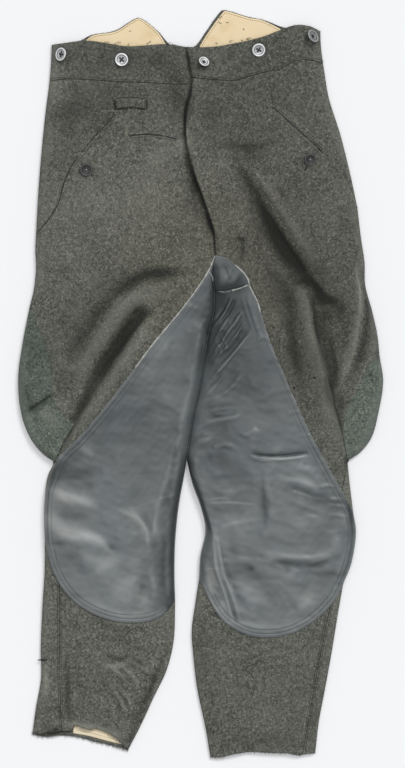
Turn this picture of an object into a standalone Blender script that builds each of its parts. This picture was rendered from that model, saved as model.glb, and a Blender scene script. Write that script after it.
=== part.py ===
"""Riding breeches laid out flat, front up, modelled as the cut pieces that a tailor sews.

The garment lies on its back. X runs across it, +Y points to the waist and +Z up from the
surface it lies on. Right and left in names are the wearer's, so "right" is at -X.

Every cloth piece is a pattern piece: a flat outline of named curves, lifted by one height
function and given a wall. All pieces of the upper layer are cut from one shared
triangulation, so pieces that lie on each other stay parallel and never meet.
Lengths are millimetres until the meshes are made.
"""

import math

import bpy
import numpy as np
from mathutils import Vector
from mathutils.geometry import delaunay_2d_cdt

MM = 0.001

# Cloth
WOOL = 2.0
BAND = 3.0
LEATHER = 1.2
COTTON = 0.8
GAP = 0.3
LEATHER_GAP = 0.75
SEAM_GAP = 0.3

# Resting heights: the back layer lies on the floor and the front layer on it
RIM = WOOL + GAP + WOOL
EDGE_ROUND = 11.0
CREASE_ROUND_RIGHT = 10.0
CREASE_ROUND_LEFT = 30.0
DOME_REACH = 60.0
LEAST_RISE = 0.8
FOLD_FADE = 14.0

# The left front laps over the right one at the fly
LAP_LIFT = BAND + GAP
LAP_FLAT = 36.0
LAP_FADE = 62.0
POCKET_FLAT = 3.0
POCKET_FADE = 26.0

# How finely outlines and surfaces are cut
CURVE_STEP = 17.0
RIM_ROW = 4.0
ROUND_ROW = 11.5
FOLD_ROW = 7.0
LATTICE = 29.0

# Heights of the front layer above its rim, by distance from the waist: y, body, loft
BODY = np.array([
    (524.0, 3.2, 0.0),
    (420.0, 4.0, 1.0),
    (327.0, 5.5, 3.0),
    (173.0, 8.0, 6.0),
    (47.0, 10.5, 9.0),
    (-107.0, 10.0, 9.0),
    (-247.0, 8.5, 8.0),
    (-359.0, 4.5, 4.0),
    (-524.0, 3.0, 0.5),
])

# Corners where outline curves meet: x, y
CORNERS = {
    "waist_side_right": (-209, 474),
    "waist_fly": (-21, 471),
    "waist_lap": (17, 470),
    "waist_side_left": (167, 493),
    "seam_side_right": (-212, 423),
    "seam_pocket_right": (-116, 422),
    "seam_fly_right": (-13, 419),
    "seam_lap": (17, 419),
    "seam_fly_left": (-14, 428),
    "seam_pocket_left": (94, 437),
    "seam_side_left": (171, 448),
    "front_lap": (8, 419),
    "slash_top_right": (-120, 379),
    "slash_low_right": (-204, 244),
    "slash_side_right": (-231, 209),
    "slash_top_left": (100, 391),
    "slash_low_left": (193, 302),
    "slash_side_left": (219, 246),
    "gusset_tip_right": (-239, 111),
    "gusset_fold_right": (-176, -57),
    "flare_end_right": (-205, -110),
    "gusset_tip_left": (250, 39),
    "gusset_fold_left": (199, -76),
    "flare_end_left": (205, -108),
    "crotch": (20, 179),
    "crotch_seam": (19, 129),
    "crotch_corner": (67, 139),
    "leg_split": (-20, -107),
    "knee_outer_right": (-218, -149),
    "knee_low_right": (-219, -219),
    "knee_inner_right": (-36, -304),
    "knee_outer_left": (213, -179),
    "knee_low_left": (199, -281),
    "knee_inner_left": (-3, -274),
    "hem_seam_right": (-195, -481),
    "hem_side_right": (-236, -489),
    "hem_inner_right": (-104, -512),
    "hem_seam_left": (142, -519),
    "hem_side_left": (160, -517),
    "hem_inner_left": (13, -523),
    "notch": (-27, 468),
    "notch_seam": (-24, 421),
}

# Outline curves: first corner, points between, last corner
CURVES = {
    "band_top_right": (
        "waist_side_right",
        [(-189, 477), (-161, 480), (-136, 477), (-102, 472), (-48, 475)],
        "waist_fly",
    ),
    "band_top_lap": ("waist_fly", [], "waist_lap"),
    "band_top_left": (
        "waist_fly",
        [(15, 471), (46, 476), (85, 485), (119, 498), (134, 502), (153, 500)],
        "waist_side_left",
    ),
    "band_side_right": ("waist_side_right", [(-210, 449)], "seam_side_right"),
    "band_side_left": ("waist_side_left", [(168, 471)], "seam_side_left"),
    "band_seam_hip_right": ("seam_side_right", [(-188, 426), (-155, 425)], "seam_pocket_right"),
    "band_seam_right": ("seam_pocket_right", [(-78, 421), (-43, 419)], "seam_fly_right"),
    "band_seam_lap": ("seam_fly_right", [], "seam_lap"),
    "front_seam_lap": ("seam_fly_right", [], "front_lap"),
    "band_lap_end": ("waist_lap", [], "seam_lap"),
    "band_seam_left": ("seam_fly_left", [(21, 425), (46, 424), (69, 430)], "seam_pocket_left"),
    "band_seam_hip_left": (
        "seam_pocket_left", [(111, 440), (129, 450), (147, 453)], "seam_side_left",
    ),
    "fly_band": ("waist_fly", [(-19, 453)], "seam_fly_left"),
    "fly_edge": (
        "seam_fly_left",
        [(-13, 410), (-20, 389), (-22, 358), (-17, 317), (-4, 279), (10, 240), (18, 211)],
        "crotch",
    ),
    "fly_lap": (
        "front_lap", [(3, 386), (1, 355), (6, 317), (15, 279), (24, 243), (25, 208)], "crotch",
    ),
    "hip_side_right": (
        "seam_side_right", [(-218, 376), (-224, 316), (-228, 264)], "slash_side_right",
    ),
    "hip_side_left": ("seam_side_left", [(179, 400), (195, 349), (209, 293)], "slash_side_left"),
    "slash_up_right": ("seam_pocket_right", [], "slash_top_right"),
    "slash_up_left": ("seam_pocket_left", [], "slash_top_left"),
    "slash_right": (
        "slash_top_right", [(-148, 346), (-178, 309), (-193, 275)], "slash_low_right",
    ),
    "slash_end_right": ("slash_low_right", [(-217, 225)], "slash_side_right"),
    "slash_left": ("slash_top_left", [(139, 356), (171, 327)], "slash_low_left"),
    "slash_end_left": ("slash_low_left", [(207, 277)], "slash_side_left"),
    "slash_lap_right": (
        "slash_top_right", [(-118, 363), (-137, 333), (-165, 298), (-182, 267)], "slash_low_right",
    ),
    "slash_lap_left": (
        "slash_top_left", [(99, 372), (130, 341), (168, 306)], "slash_low_left",
    ),
    "side_right": ("slash_side_right", [(-232, 187), (-231, 162), (-234, 132)], "gusset_tip_right"),
    "side_left": (
        "slash_side_left",
        [(224, 204), (229, 170), (230, 138), (240, 100), (247, 68)],
        "gusset_tip_left",
    ),
    "flare_right": (
        "gusset_tip_right",
        [(-249, 61), (-256, 8), (-253, -41), (-241, -75), (-224, -97)],
        "flare_end_right",
    ),
    "flare_left": (
        "gusset_tip_left", [(255, 2), (248, -43), (239, -75), (223, -96)], "flare_end_left",
    ),
    "gusset_seam_right": (
        "gusset_tip_right",
        [(-231, 83), (-216, 50), (-208, 13), (-208, -17), (-197, -40)],
        "gusset_fold_right",
    ),
    "gusset_seam_left": (
        "gusset_tip_left", [(232, 23), (220, -6), (204, -34), (199, -57)], "gusset_fold_left",
    ),
    "fold_end_right": ("gusset_fold_right", [(-189, -76)], "flare_end_right"),
    "fold_end_left": ("gusset_fold_left", [(202, -93)], "flare_end_left"),
    "thigh_side_right": ("flare_end_right", [(-214, -128)], "knee_outer_right"),
    "knee_side_right": ("knee_outer_right", [(-221, -180)], "knee_low_right"),
    "calf_side_right": (
        "knee_low_right",
        [(-220, -261), (-223, -310), (-225, -370), (-224, -412), (-231, -453)],
        "hem_side_right",
    ),
    "thigh_side_left": ("flare_end_left", [(208, -138)], "knee_outer_left"),
    "knee_side_left": ("knee_outer_left", [(217, -208), (211, -250)], "knee_low_left"),
    "calf_side_left": (
        "knee_low_left", [(192, -321), (183, -376), (174, -426), (165, -474)], "hem_side_left",
    ),
    "calf_seam_right": (
        "flare_end_right",
        [(-201, -177), (-198, -303), (-198, -373), (-197, -429)],
        "hem_seam_right",
    ),
    "calf_seam_left": (
        "flare_end_left",
        [(192, -184), (185, -282), (168, -373), (155, -444)],
        "hem_seam_left",
    ),
    "hem_strip_right": ("hem_side_right", [(-216, -486)], "hem_seam_right"),
    "hem_front_right": (
        "hem_seam_right",
        [(-176, -478), (-155, -483), (-133, -489), (-119, -498)],
        "hem_inner_right",
    ),
    "hem_strip_left": ("hem_side_left", [], "hem_seam_left"),
    "hem_front_left": ("hem_seam_left", [(112, -518), (71, -516), (43, -519)], "hem_inner_left"),
    "inner_calf_right": (
        "hem_inner_right",
        [(-85, -478), (-67, -439), (-49, -401), (-39, -359)],
        "knee_inner_right",
    ),
    "inner_knee_right": (
        "knee_inner_right", [(-38, -261), (-37, -216), (-32, -169), (-24, -127)], "leg_split",
    ),
    "inner_calf_left": (
        "hem_inner_left",
        [(6, -481), (-5, -429), (-11, -380), (-13, -345), (-8, -307)],
        "knee_inner_left",
    ),
    "inner_knee_left": (
        "knee_inner_left", [(-1, -241), (5, -205), (-3, -171), (-14, -141)], "leg_split",
    ),
    "crease_low": ("leg_split", [(-12, -52), (-1, -2), (10, 67), (18, 100)], "crotch_seam"),
    "crease_top": ("crotch_seam", [(17, 148)], "crotch"),
    "leather_edge_right": (
        "crotch",
        [(8, 152), (-22, 110), (-68, 54), (-126, -23), (-171, -76), (-199, -104)],
        "knee_outer_right",
    ),
    "leather_foot_right": (
        "knee_low_right",
        [(-209, -258), (-193, -288), (-169, -312), (-129, -330), (-88, -334), (-55, -325)],
        "knee_inner_right",
    ),
    "crotch_top": ("crotch", [(34, 176), (50, 165), (64, 153)], "crotch_corner"),
    "crotch_joint": ("crotch_corner", [(42, 132)], "crotch_seam"),
    "leather_edge_left": (
        "crotch_corner",
        [(80, 114), (95, 62), (123, -5), (153, -71), (186, -131)],
        "knee_outer_left",
    ),
    "leather_foot_left": (
        "knee_low_left",
        [(185, -306), (156, -334), (125, -350), (88, -355), (55, -348), (25, -325)],
        "knee_inner_left",
    ),
    "peak_right": (
        "waist_side_right",
        [(-190, 473), (-171, 479), (-154, 488), (-121, 494), (-94, 510), (-85, 512),
         (-59, 492), (-44, 475)],
        "notch",
    ),
    "peak_left": (
        "notch",
        [(-9, 472), (6, 492), (28, 522), (34, 523), (68, 513), (88, 509), (118, 498), (140, 497)],
        "waist_side_left",
    ),
    "notch_seam": ("notch", [], "notch_seam"),
    "back_seam_right": ("seam_side_right", [(-120, 421)], "notch_seam"),
    "back_seam_left": ("notch_seam", [(70, 430)], "seam_side_left"),
    "seat_seam": ("notch_seam", [(-8, 300)], "crotch"),
    "hem_back_right": (
        "hem_side_right",
        [(-215, -494), (-178, -491), (-156, -498), (-134, -504)],
        "hem_inner_right",
    ),
    "leather_back_right": (
        "crotch",
        [(-24, 96), (-78, 10), (-120, -80), (-134, -170), (-118, -250), (-80, -295)],
        "knee_inner_right",
    ),
    "leather_back_left": (
        "crotch",
        [(60, 100), (102, 10), (128, -80), (134, -160), (116, -230), (62, -272)],
        "knee_inner_left",
    ),
}

# Cloth pieces of the front layer: node, outline curves in order, height rule, wall, material.
# A minus sign walks a curve backwards.
FRONT_PIECES = [
    ("waistband_right",
     "band_top_right band_top_lap band_lap_end -band_seam_lap -band_seam_right "
     "-band_seam_hip_right -band_side_right",
     "band", BAND, "wool"),
    ("waistband_left",
     "band_top_left band_side_left -band_seam_hip_left -band_seam_left -fly_band",
     "band_left", BAND, "wool"),
    ("hip_right",
     "band_seam_hip_right slash_up_right slash_lap_right slash_end_right -hip_side_right",
     "hip", WOOL, "wool"),
    ("hip_left",
     "band_seam_hip_left hip_side_left -slash_end_left -slash_lap_left -slash_up_left",
     "hip_left", WOOL, "wool"),
    ("front_right",
     "band_seam_right front_seam_lap fly_lap -crease_top -crease_low -inner_knee_right "
     "-inner_calf_right -hem_front_right -calf_seam_right -fold_end_right -gusset_seam_right "
     "-side_right -slash_end_right -slash_right -slash_up_right",
     "front", WOOL, "wool"),
    ("front_left",
     "fly_edge -crease_top -crease_low -inner_knee_left -inner_calf_left -hem_front_left "
     "-calf_seam_left -fold_end_left -gusset_seam_left -side_left -slash_end_left "
     "-slash_left -slash_up_left -band_seam_left",
     "front_left", WOOL, "wool"),
    ("gusset_right",
     "flare_right -fold_end_right -gusset_seam_right", "front", WOOL, "flare_wool"),
    ("gusset_left",
     "flare_left -fold_end_left -gusset_seam_left", "front_left", WOOL, "flare_wool"),
    ("calf_side_right",
     "thigh_side_right knee_side_right calf_side_right hem_strip_right -calf_seam_right",
     "front", WOOL, "wool"),
    ("calf_side_left",
     "thigh_side_left knee_side_left calf_side_left hem_strip_left -calf_seam_left",
     "front_left", WOOL, "wool"),
    ("leather_right",
     "leather_edge_right knee_side_right leather_foot_right inner_knee_right crease_low "
     "crease_top",
     "leather", LEATHER, "leather"),
    ("leather_left",
     "leather_edge_left knee_side_left leather_foot_left inner_knee_left crease_low "
     "-crotch_joint",
     "leather_left", LEATHER, "leather"),
    ("leather_crotch",
     "crotch_top crotch_joint crease_top", "leather_left", LEATHER, "leather"),
]

# Pieces of the back layer, flat on the floor
BACK_PIECES = [
    ("back_peak_right", "peak_right notch_seam -back_seam_right -band_side_right", "wool"),
    ("back_peak_left", "peak_left band_side_left -back_seam_left -notch_seam", "wool"),
    ("back_right",
     "back_seam_right seat_seam leather_back_right -inner_calf_right -hem_back_right "
     "-calf_side_right -knee_side_right -thigh_side_right -flare_right -side_right "
     "-hip_side_right",
     "wool"),
    ("back_left",
     "back_seam_left hip_side_left side_left flare_left thigh_side_left knee_side_left "
     "calf_side_left hem_strip_left hem_front_left inner_calf_left -leather_back_left "
     "-seat_seam",
     "wool"),
    ("leather_back_right",
     "leather_back_right inner_knee_right crease_low crease_top", "leather"),
    ("leather_back_left",
     "leather_back_left inner_knee_left crease_low crease_top", "leather"),
]

# Folds, listed from their upper or -X end: side, start, middle, end, height,
# width toward -X (or below), width toward +X (or above)
FOLDS = [
    ("right", (-83, 89), (-130, 18), (-195, -96), 10.0, 6.0, 36.0),
    ("right", (-73, 106), (-123, 47), (-169, -20), -6.0, 13.0, 9.0),
    ("right", (-22, 160), (-102, 151), (-195, 30), -4.5, 17.0, 17.0),
    ("right", (-60, 117), (-133, 92), (-181, -3), 4.0, 16.0, 16.0),
    ("right", (8, 90), (-8, 5), (-28, -100), 6.0, 36.0, 12.0),
    ("right", (-39, -93), (-60, -170), (-68, -248), 2.5, 12.0, 18.0),
    ("left", (155, 81), (182, -23), (207, -121), 10.0, 34.0, 6.0),
    ("left", (169, 100), (190, 33), (202, -23), -6.0, 9.0, 13.0),
    ("left", (49, 327), (94, 240), (175, 106), -5.0, 16.0, 16.0),
    ("left", (143, 134), (147, 100), (151, 68), 4.0, 12.0, 12.0),
    ("left", (216, 162), (225, 103), (207, 5), 4.0, 17.0, 6.0),
    ("left", (-15, 408), (-20, 348), (7, 246), 4.0, 5.0, 17.0),
    ("left", (70, -97), (104, -102), (150, -96), -3.0, 7.0, 7.0),
    ("left", (73, -111), (111, -117), (147, -110), 2.5, 9.0, 9.0),
    ("left", (7, -188), (24, -261), (56, -331), 3.0, 6.0, 15.0),
]

# Cotton linings: node, outline points as x, y; they lie on the back layer
LININGS = {
    "peak_lining_right": [
        (-168, 474), (-152, 484), (-120, 490), (-94, 505), (-85, 508), (-62, 489), (-47, 471),
        (-42, 438), (-100, 432), (-160, 438),
    ],
    "peak_lining_left": [
        (-2, 472), (10, 490), (30, 517), (34, 519), (67, 509), (87, 505), (114, 495), (120, 460),
        (70, 440), (6, 438),
    ],
    "hem_lining_right": [
        (-196, -462), (-196, -483), (-178, -486), (-156, -493), (-134, -499), (-122, -500),
        (-106, -484), (-124, -462),
    ],
}

# Small strips sewn on the front layer: node, start, middle, end, width, arch, wall, side
STRIPS = [
    ("pocket_lip_left", (102, 386), (134, 357), (164, 329), 5.0, 0.0, 1.2, "left"),
    ("watch_pocket_lip", (-101, 348), (-70, 350), (-36, 343), 5.0, 0.0, 1.2, "right"),
    ("watch_strap", (-119, 391), (-98, 393), (-77, 391), 13.0, 2.4, 1.6, "right"),
]
STRIP_STEP = 9.0
STRIP_SEAT = 0.35

# Buttons: node, x, y, radius, turned about Y, turned about X (degrees), rests on
BUTTONS = [
    ("brace_button_1", -196.0, 461.0, 8.5, -24.0, 0.0, "band"),
    ("brace_button_2", -111.0, 453.0, 8.5, 0.0, 0.0, "band"),
    ("brace_button_3", 81.0, 467.0, 8.5, 0.0, 0.0, "band_left"),
    ("brace_button_4", 156.0, 485.0, 8.5, 26.0, 10.0, "band_left"),
    ("closure_button", 4.0, 449.0, 7.5, 10.0, 24.0, "band_left"),
    ("pocket_button_right", -160.5, 299.0, 8.5, 0.0, 0.0, "front"),
    ("pocket_button_left", 152.5, 313.5, 8.5, 0.0, 0.0, "front_left"),
]
BUTTON_SIDES = 16
# Button half-section: share of the radius, height
BUTTON_PROFILE = [
    (0.72, 0.0), (1.0, 0.9), (1.0, 1.9), (0.88, 2.7), (0.66, 2.3), (0.5, 1.7), (0.18, 1.6),
]
BUTTON_SEAT = 0.5

# Node finishes: colour, roughness, metallic
FINISHES = {
    "wool": ((0.085, 0.09, 0.075), 0.95, 0.0),
    "flare_wool": ((0.07, 0.095, 0.075), 0.95, 0.0),
    "leather": ((0.125, 0.15, 0.16), 0.45, 0.0),
    "cotton": ((0.78, 0.66, 0.46), 0.9, 0.0),
    "zinc": ((0.55, 0.56, 0.57), 0.4, 1.0),
    "horn": ((0.06, 0.065, 0.065), 0.45, 0.0),
}


def clear_scene():
    """Remove every object of the open scene."""
    for item in list(bpy.data.objects):
        bpy.data.objects.remove(item, do_unlink=True)


def smooth_line(points, step):
    """A smooth curve through the points, resampled at about the given step."""
    points = np.asarray(points, float)
    if len(points) == 2:
        count = max(1, round(float(np.hypot(*(points[1] - points[0]))) / step))
        share = np.linspace(0.0, 1.0, count + 1)[:, None]
        return points[0] * (1.0 - share) + points[1] * share
    before = 2.0 * points[0] - points[1]
    after = 2.0 * points[-1] - points[-2]
    chain = np.vstack([before, points, after])
    share = np.linspace(0.0, 1.0, 12, endpoint=False)[:, None]
    dense = []
    for first, start, end, last in zip(chain[:-3], chain[1:-2], chain[2:-1], chain[3:]):
        reach = np.hypot(*(end - start))
        leave = (end - first) / np.hypot(*(end - first)) * reach
        arrive = (last - start) / np.hypot(*(last - start)) * reach
        cubic = 2.0 * start - 2.0 * end + leave + arrive
        square = -3.0 * start + 3.0 * end - 2.0 * leave - arrive
        dense.append(start + leave * share + square * share**2 + cubic * share**3)
    dense = np.vstack(dense + [points[-1:]])
    lengths = np.concatenate([[0.0], np.cumsum(np.hypot(*np.diff(dense, axis=0).T))])
    count = max(2, round(lengths[-1] / step))
    even = np.linspace(0.0, lengths[-1], count + 1)
    return np.column_stack([np.interp(even, lengths, dense[:, axis]) for axis in (0, 1)])


def curve(name, step=CURVE_STEP):
    """A named outline curve as points, walked backwards after a minus sign."""
    first, between, last = CURVES[name.lstrip("-")]
    line = smooth_line([CORNERS[first], *between, CORNERS[last]], step)
    return line[::-1] if name.startswith("-") else line


def outline(names):
    """The closed outline that named curves make, each corner given once, counterclockwise."""
    loop = np.vstack([curve(name)[:-1] for name in names.split()])
    x, y = loop.T
    area = float(np.sum(x * np.roll(y, -1) - np.roll(x, -1) * y))
    return loop if area > 0.0 else loop[::-1]


def joined(names):
    """Named curves as one open line."""
    return np.vstack([curve(name) for name in names.split()])


def measure_line(line, points):
    """For each point: distance to a line, side (+1 is the +X or upper side), share along it."""
    start, end = line[:-1], line[1:]
    run = end - start
    size = np.maximum(np.einsum("ij,ij->i", run, run), 1e-9)
    offset = points[:, None, :] - start[None, :, :]
    share = np.clip(np.einsum("pij,ij->pi", offset, run) / size, 0.0, 1.0)
    apart = offset - share[:, :, None] * run[None, :, :]
    away = np.hypot(apart[:, :, 0], apart[:, :, 1])
    nearest = np.argmin(away, axis=1)
    row = np.arange(len(points))
    chosen = run[nearest]
    delta = apart[row, nearest]
    side = np.sign(chosen[:, 0] * delta[:, 1] - chosen[:, 1] * delta[:, 0])
    lengths = np.sqrt(size)
    along = np.concatenate([[0.0], np.cumsum(lengths)])
    place = (along[nearest] + share[row, nearest] * lengths[nearest]) / along[-1]
    return away[row, nearest], side, place


def quarter_round(distance, radius):
    """Rises from 0 at an edge to 1 at the radius, as a quarter circle does."""
    inward = np.clip(distance / radius, 0.0, 1.0)
    return np.sqrt(1.0 - (1.0 - inward) ** 2)


def fade(value, low, high):
    """Falls smoothly from 1 at low to 0 at high."""
    share = np.clip((value - low) / (high - low), 0.0, 1.0)
    return 1.0 - share * share * (3.0 - 2.0 * share)


OUTER_EDGE = joined(
    "-hem_strip_right -calf_side_right -knee_side_right -thigh_side_right -flare_right "
    "-side_right -hip_side_right -band_side_right"
)[1:], joined(
    "band_side_left hip_side_left side_left flare_left thigh_side_left knee_side_left "
    "calf_side_left"
)
INNER_EDGE = {
    "right": joined("inner_calf_right inner_knee_right crease_low crease_top"),
    "left": joined("inner_calf_left inner_knee_left crease_low crease_top"),
}
LEG_JOIN_HIGH = 172.0
LEG_JOIN_LOW = 118.0
LEG_PART_HIGH = -70.0
LEG_PART_LOW = -140.0


def fold_rise(points, side):
    """Sum of the folds of one side of the garment."""
    rise = np.zeros(len(points))
    for fold_side, start, middle, end, height, minus, plus in FOLDS:
        if fold_side != side:
            continue
        line = smooth_line([start, middle, end], LATTICE)
        away, way, place = measure_line(line, points)
        width = np.where(way > 0.0, plus, minus)
        taper = np.sin(np.pi * np.clip(place, 0.0, 1.0)) ** 0.5
        rise += height * np.exp(-((away / width) ** 2)) * taper
    return rise


def front_height(points, side):
    """Top of the front layer: a rim at every edge, a soft dome inside it, and the folds."""
    points = np.asarray(points, float)
    y = points[:, 1]
    body = np.interp(-y, -BODY[:, 0], BODY[:, 1])
    loft = np.interp(-y, -BODY[:, 0], BODY[:, 2])
    outer = np.minimum(*[measure_line(line, points)[0] for line in OUTER_EDGE])
    inner = measure_line(INNER_EDGE[side], points)[0]
    two_legs = fade(y, LEG_JOIN_LOW, LEG_JOIN_HIGH)
    if side == "right":
        radius = CREASE_ROUND_RIGHT
    else:
        apart = fade(y, LEG_PART_LOW, LEG_PART_HIGH)
        radius = CREASE_ROUND_LEFT + (CREASE_ROUND_RIGHT - CREASE_ROUND_LEFT) * apart
    rounding = quarter_round(outer, EDGE_ROUND)
    rounding *= 1.0 - two_legs + two_legs * quarter_round(inner, radius)
    dome = 1.0 - np.exp(-((outer / DOME_REACH) ** 2))
    dome *= 1.0 - two_legs * np.exp(-((inner / DOME_REACH) ** 2))
    held = np.minimum(outer, inner * two_legs + FOLD_FADE * (1.0 - two_legs))
    free = 1.0 - fade(held, 0.0, FOLD_FADE)
    rise = body + loft * dome + fold_rise(points, side) * free
    return RIM + rounding * np.maximum(rise, LEAST_RISE)


def lap_lift(points):
    """How far the left front is lifted by the right one under its fly edge."""
    line = joined("fly_band fly_edge")
    return LAP_LIFT * fade(measure_line(line, points)[0], LAP_FLAT, LAP_FADE)


def pocket_drop(points, side):
    """How far a hip piece lies below the front panel along its pocket."""
    away, way, _ = measure_line(curve(f"slash_{side}"), points)
    under = way > 0.0 if side == "right" else way < 0.0
    away = np.where(under, 0.0, away)
    edge = np.minimum(*[measure_line(line, points)[0] for line in OUTER_EDGE])
    return (WOOL + GAP) * fade(away, POCKET_FLAT, POCKET_FADE) * quarter_round(edge, EDGE_ROUND)


def piece_height(points, rule):
    """Top height of the pieces that follow one of the named rules."""
    side = "left" if rule.endswith("left") else "right"
    height = front_height(points, side)
    if side == "left":
        height = height + lap_lift(points)
    if rule.startswith("band"):
        height = height + BAND - WOOL
    if rule.startswith("hip"):
        height = height - pocket_drop(points, side)
    if rule.startswith("leather"):
        height = height + LEATHER + LEATHER_GAP
    return height


def inside(points, loop):
    """Which points lie inside a closed outline."""
    x, y = points[:, 0][:, None], points[:, 1][:, None]
    x0, y0 = loop[:, 0][None, :], loop[:, 1][None, :]
    x1, y1 = np.roll(loop[:, 0], -1)[None, :], np.roll(loop[:, 1], -1)[None, :]
    spans = (y0 > y) != (y1 > y)
    rise = np.where(y1 == y0, 1.0, y1 - y0)
    crossing = x0 + (y - y0) * (x1 - x0) / rise
    return np.sum(spans & (x < crossing), axis=1) % 2 == 1


def offset_line(line, distance):
    """Points beside a line at a signed distance."""
    run = np.gradient(line, axis=0)
    run /= np.maximum(np.hypot(run[:, 0], run[:, 1])[:, None], 1e-9)
    return line + np.column_stack([-run[:, 1], run[:, 0]]) * distance


def thin_out(kept, offered, least):
    """Offered points that stay at least a distance from the kept ones and from each other."""
    chosen = list(kept)
    for point in offered:
        away = np.hypot(*(np.asarray(chosen) - point).T)
        if away.min() >= least:
            chosen.append(point)
    return chosen[len(kept):]


def triangulate(loops, extra_points):
    """One triangulation that follows every outline, with the extra points inside it."""
    points, edges, index = [], [], {}

    def add(point):
        key = (round(float(point[0]), 3), round(float(point[1]), 3))
        if key not in index:
            index[key] = len(points)
            points.append(Vector(key))
        return index[key]

    seen = set()
    for loop in loops:
        ids = [add(point) for point in loop]
        for pair in zip(ids, ids[1:] + ids[:1]):
            key = tuple(sorted(pair))
            if pair[0] != pair[1] and key not in seen:
                seen.add(key)
                edges.append(key)
    for point in extra_points:
        add(point)
    result = delaunay_2d_cdt(points, edges, [], 0, 0.01, False)
    flat = np.array([tuple(vertex) for vertex in result[0]])
    return flat, np.array([tuple(face) for face in result[2]])


def surface_points(loops):
    """Points inside the front layer: rows along its edges and folds, and an even lattice."""
    edge_points = np.unique(np.round(np.vstack(loops), 3), axis=0)
    offered = []
    lines = [OUTER_EDGE[0], OUTER_EDGE[1], INNER_EDGE["right"], INNER_EDGE["left"]]
    for distance, least in ((RIM_ROW, 3.6), (ROUND_ROW, 6.5)):
        rows = [offset_line(line, way * distance) for line in lines for way in (-1.0, 1.0)]
        offered.append((np.vstack(rows), least))
    folds = [smooth_line(fold[1:4], 16.0) for fold in FOLDS]
    rows = [offset_line(line, way * FOLD_ROW) for line in folds for way in (-1.0, 0.0, 1.0)]
    offered.append((np.vstack(rows), FOLD_ROW - 0.5))
    high = LATTICE * math.sqrt(3.0) / 2.0
    lattice = [
        (column * LATTICE + (row % 2) * LATTICE / 2.0, row * high)
        for row in range(-25, 26) for column in range(-11, 12)
    ]
    offered.append((np.array(lattice), LATTICE * 0.58))
    chosen = []
    for points, least in offered:
        within = np.any([inside(points, loop) for loop in loops], axis=0)
        kept = np.vstack([edge_points, *chosen]) if chosen else edge_points
        chosen += [point[None, :] for point in thin_out(kept, points[within], least)]
    return np.vstack(chosen)


def finish(name):
    """The material of a finish, made once."""
    if name in bpy.data.materials:
        return bpy.data.materials[name]
    colour, roughness, metallic = FINISHES[name]
    material = bpy.data.materials.new(name)
    material.use_nodes = True
    shader = material.node_tree.nodes["Principled BSDF"]
    shader.inputs["Base Color"].default_value = (*colour, 1.0)
    shader.inputs["Roughness"].default_value = roughness
    shader.inputs["Metallic"].default_value = metallic
    material.diffuse_color = (*colour, 1.0)
    return material


def add_object(name, vertices, faces, finish_name):
    """A mesh object in metres from points in millimetres."""
    mesh = bpy.data.meshes.new(name)
    mesh.from_pydata((np.asarray(vertices) * MM).tolist(), [], [list(face) for face in faces])
    mesh.validate()
    mesh.shade_smooth()
    mesh.set_sharp_from_angle(angle=math.radians(40.0))
    item = bpy.data.objects.new(name, mesh)
    material = finish(finish_name).copy()
    material.name = f"{name}_{finish_name}"
    mesh.materials.append(material)
    bpy.context.scene.collection.objects.link(item)
    return item


def cut_piece(name, flat, triangles, loop, top_of, wall, finish_name):
    """A wall over the triangles inside an outline, drawn in by half a seam gap at its edge."""
    centres = flat[triangles].mean(axis=1)
    chosen = triangles[inside(centres, loop)]
    a, b, c = (flat[chosen[:, corner]] for corner in range(3))
    turn = (b[:, 0] - a[:, 0]) * (c[:, 1] - a[:, 1]) - (b[:, 1] - a[:, 1]) * (c[:, 0] - a[:, 0])
    chosen = np.where((turn > 0.0)[:, None], chosen, chosen[:, ::-1])
    used, local = np.unique(chosen, return_inverse=True)
    local = local.reshape(-1, 3)
    plan = flat[used]
    top = top_of(plan)
    edges = {(int(p), int(q)) for tri in local for p, q in zip(tri, np.roll(tri, -1))}
    rim = [(p, q) for p, q in edges if (q, p) not in edges]
    inward = np.zeros_like(plan)
    for p, q in rim:
        run = plan[q] - plan[p]
        normal = np.array([-run[1], run[0]]) / np.hypot(*run)
        inward[p] += normal
        inward[q] += normal
    size = np.hypot(inward[:, 0], inward[:, 1])
    on_rim = size > 1e-6
    # Two unit normals at a corner add up to twice the cosine of half the turn
    inward[on_rim] /= (size[on_rim] ** 2 / 2.0).clip(0.6)[:, None]
    plan = plan + inward * (SEAM_GAP / 2.0)
    count = len(plan)
    vertices = np.vstack([
        np.column_stack([plan, top]),
        np.column_stack([plan, top - wall]),
    ])
    faces = [tuple(tri) for tri in local]
    faces += [tuple(tri[::-1] + count) for tri in local]
    for p, q in sorted(rim):
        faces.append((p, p + count, q + count, q))
    return add_object(name, vertices, faces, finish_name)


def build_front():
    """The pieces of the front layer, all cut from one triangulation."""
    loops = [outline(names) for _, names, _, _, _ in FRONT_PIECES]
    flat, triangles = triangulate(loops, surface_points(loops))
    for (name, _, rule, wall, finish_name), loop in zip(FRONT_PIECES, loops):
        def top_of(plan, rule=rule):
            return piece_height(plan, rule)
        cut_piece(name, flat, triangles, loop, top_of, wall, finish_name)


def build_back():
    """The pieces of the back layer, flat on the floor."""
    loops = [outline(names) for _, names, _ in BACK_PIECES]
    flat, triangles = triangulate(loops, [])
    for (name, _, finish_name), loop in zip(BACK_PIECES, loops):
        cut_piece(name, flat, triangles, loop, lambda plan: np.full(len(plan), WOOL), WOOL,
                  finish_name)


def build_linings():
    """The cotton linings that show above the waist and in the right hem."""
    for name, points in LININGS.items():
        closed = smooth_line([*points, points[0]], CURVE_STEP)[:-1]
        x, y = closed.T
        turned = float(np.sum(x * np.roll(y, -1) - np.roll(x, -1) * y)) > 0.0
        loop = closed if turned else closed[::-1]
        flat, triangles = triangulate([loop], [])
        level = WOOL + GAP + COTTON
        cut_piece(name, flat, triangles, loop, lambda plan: np.full(len(plan), level), COTTON,
                  "cotton")


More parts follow.
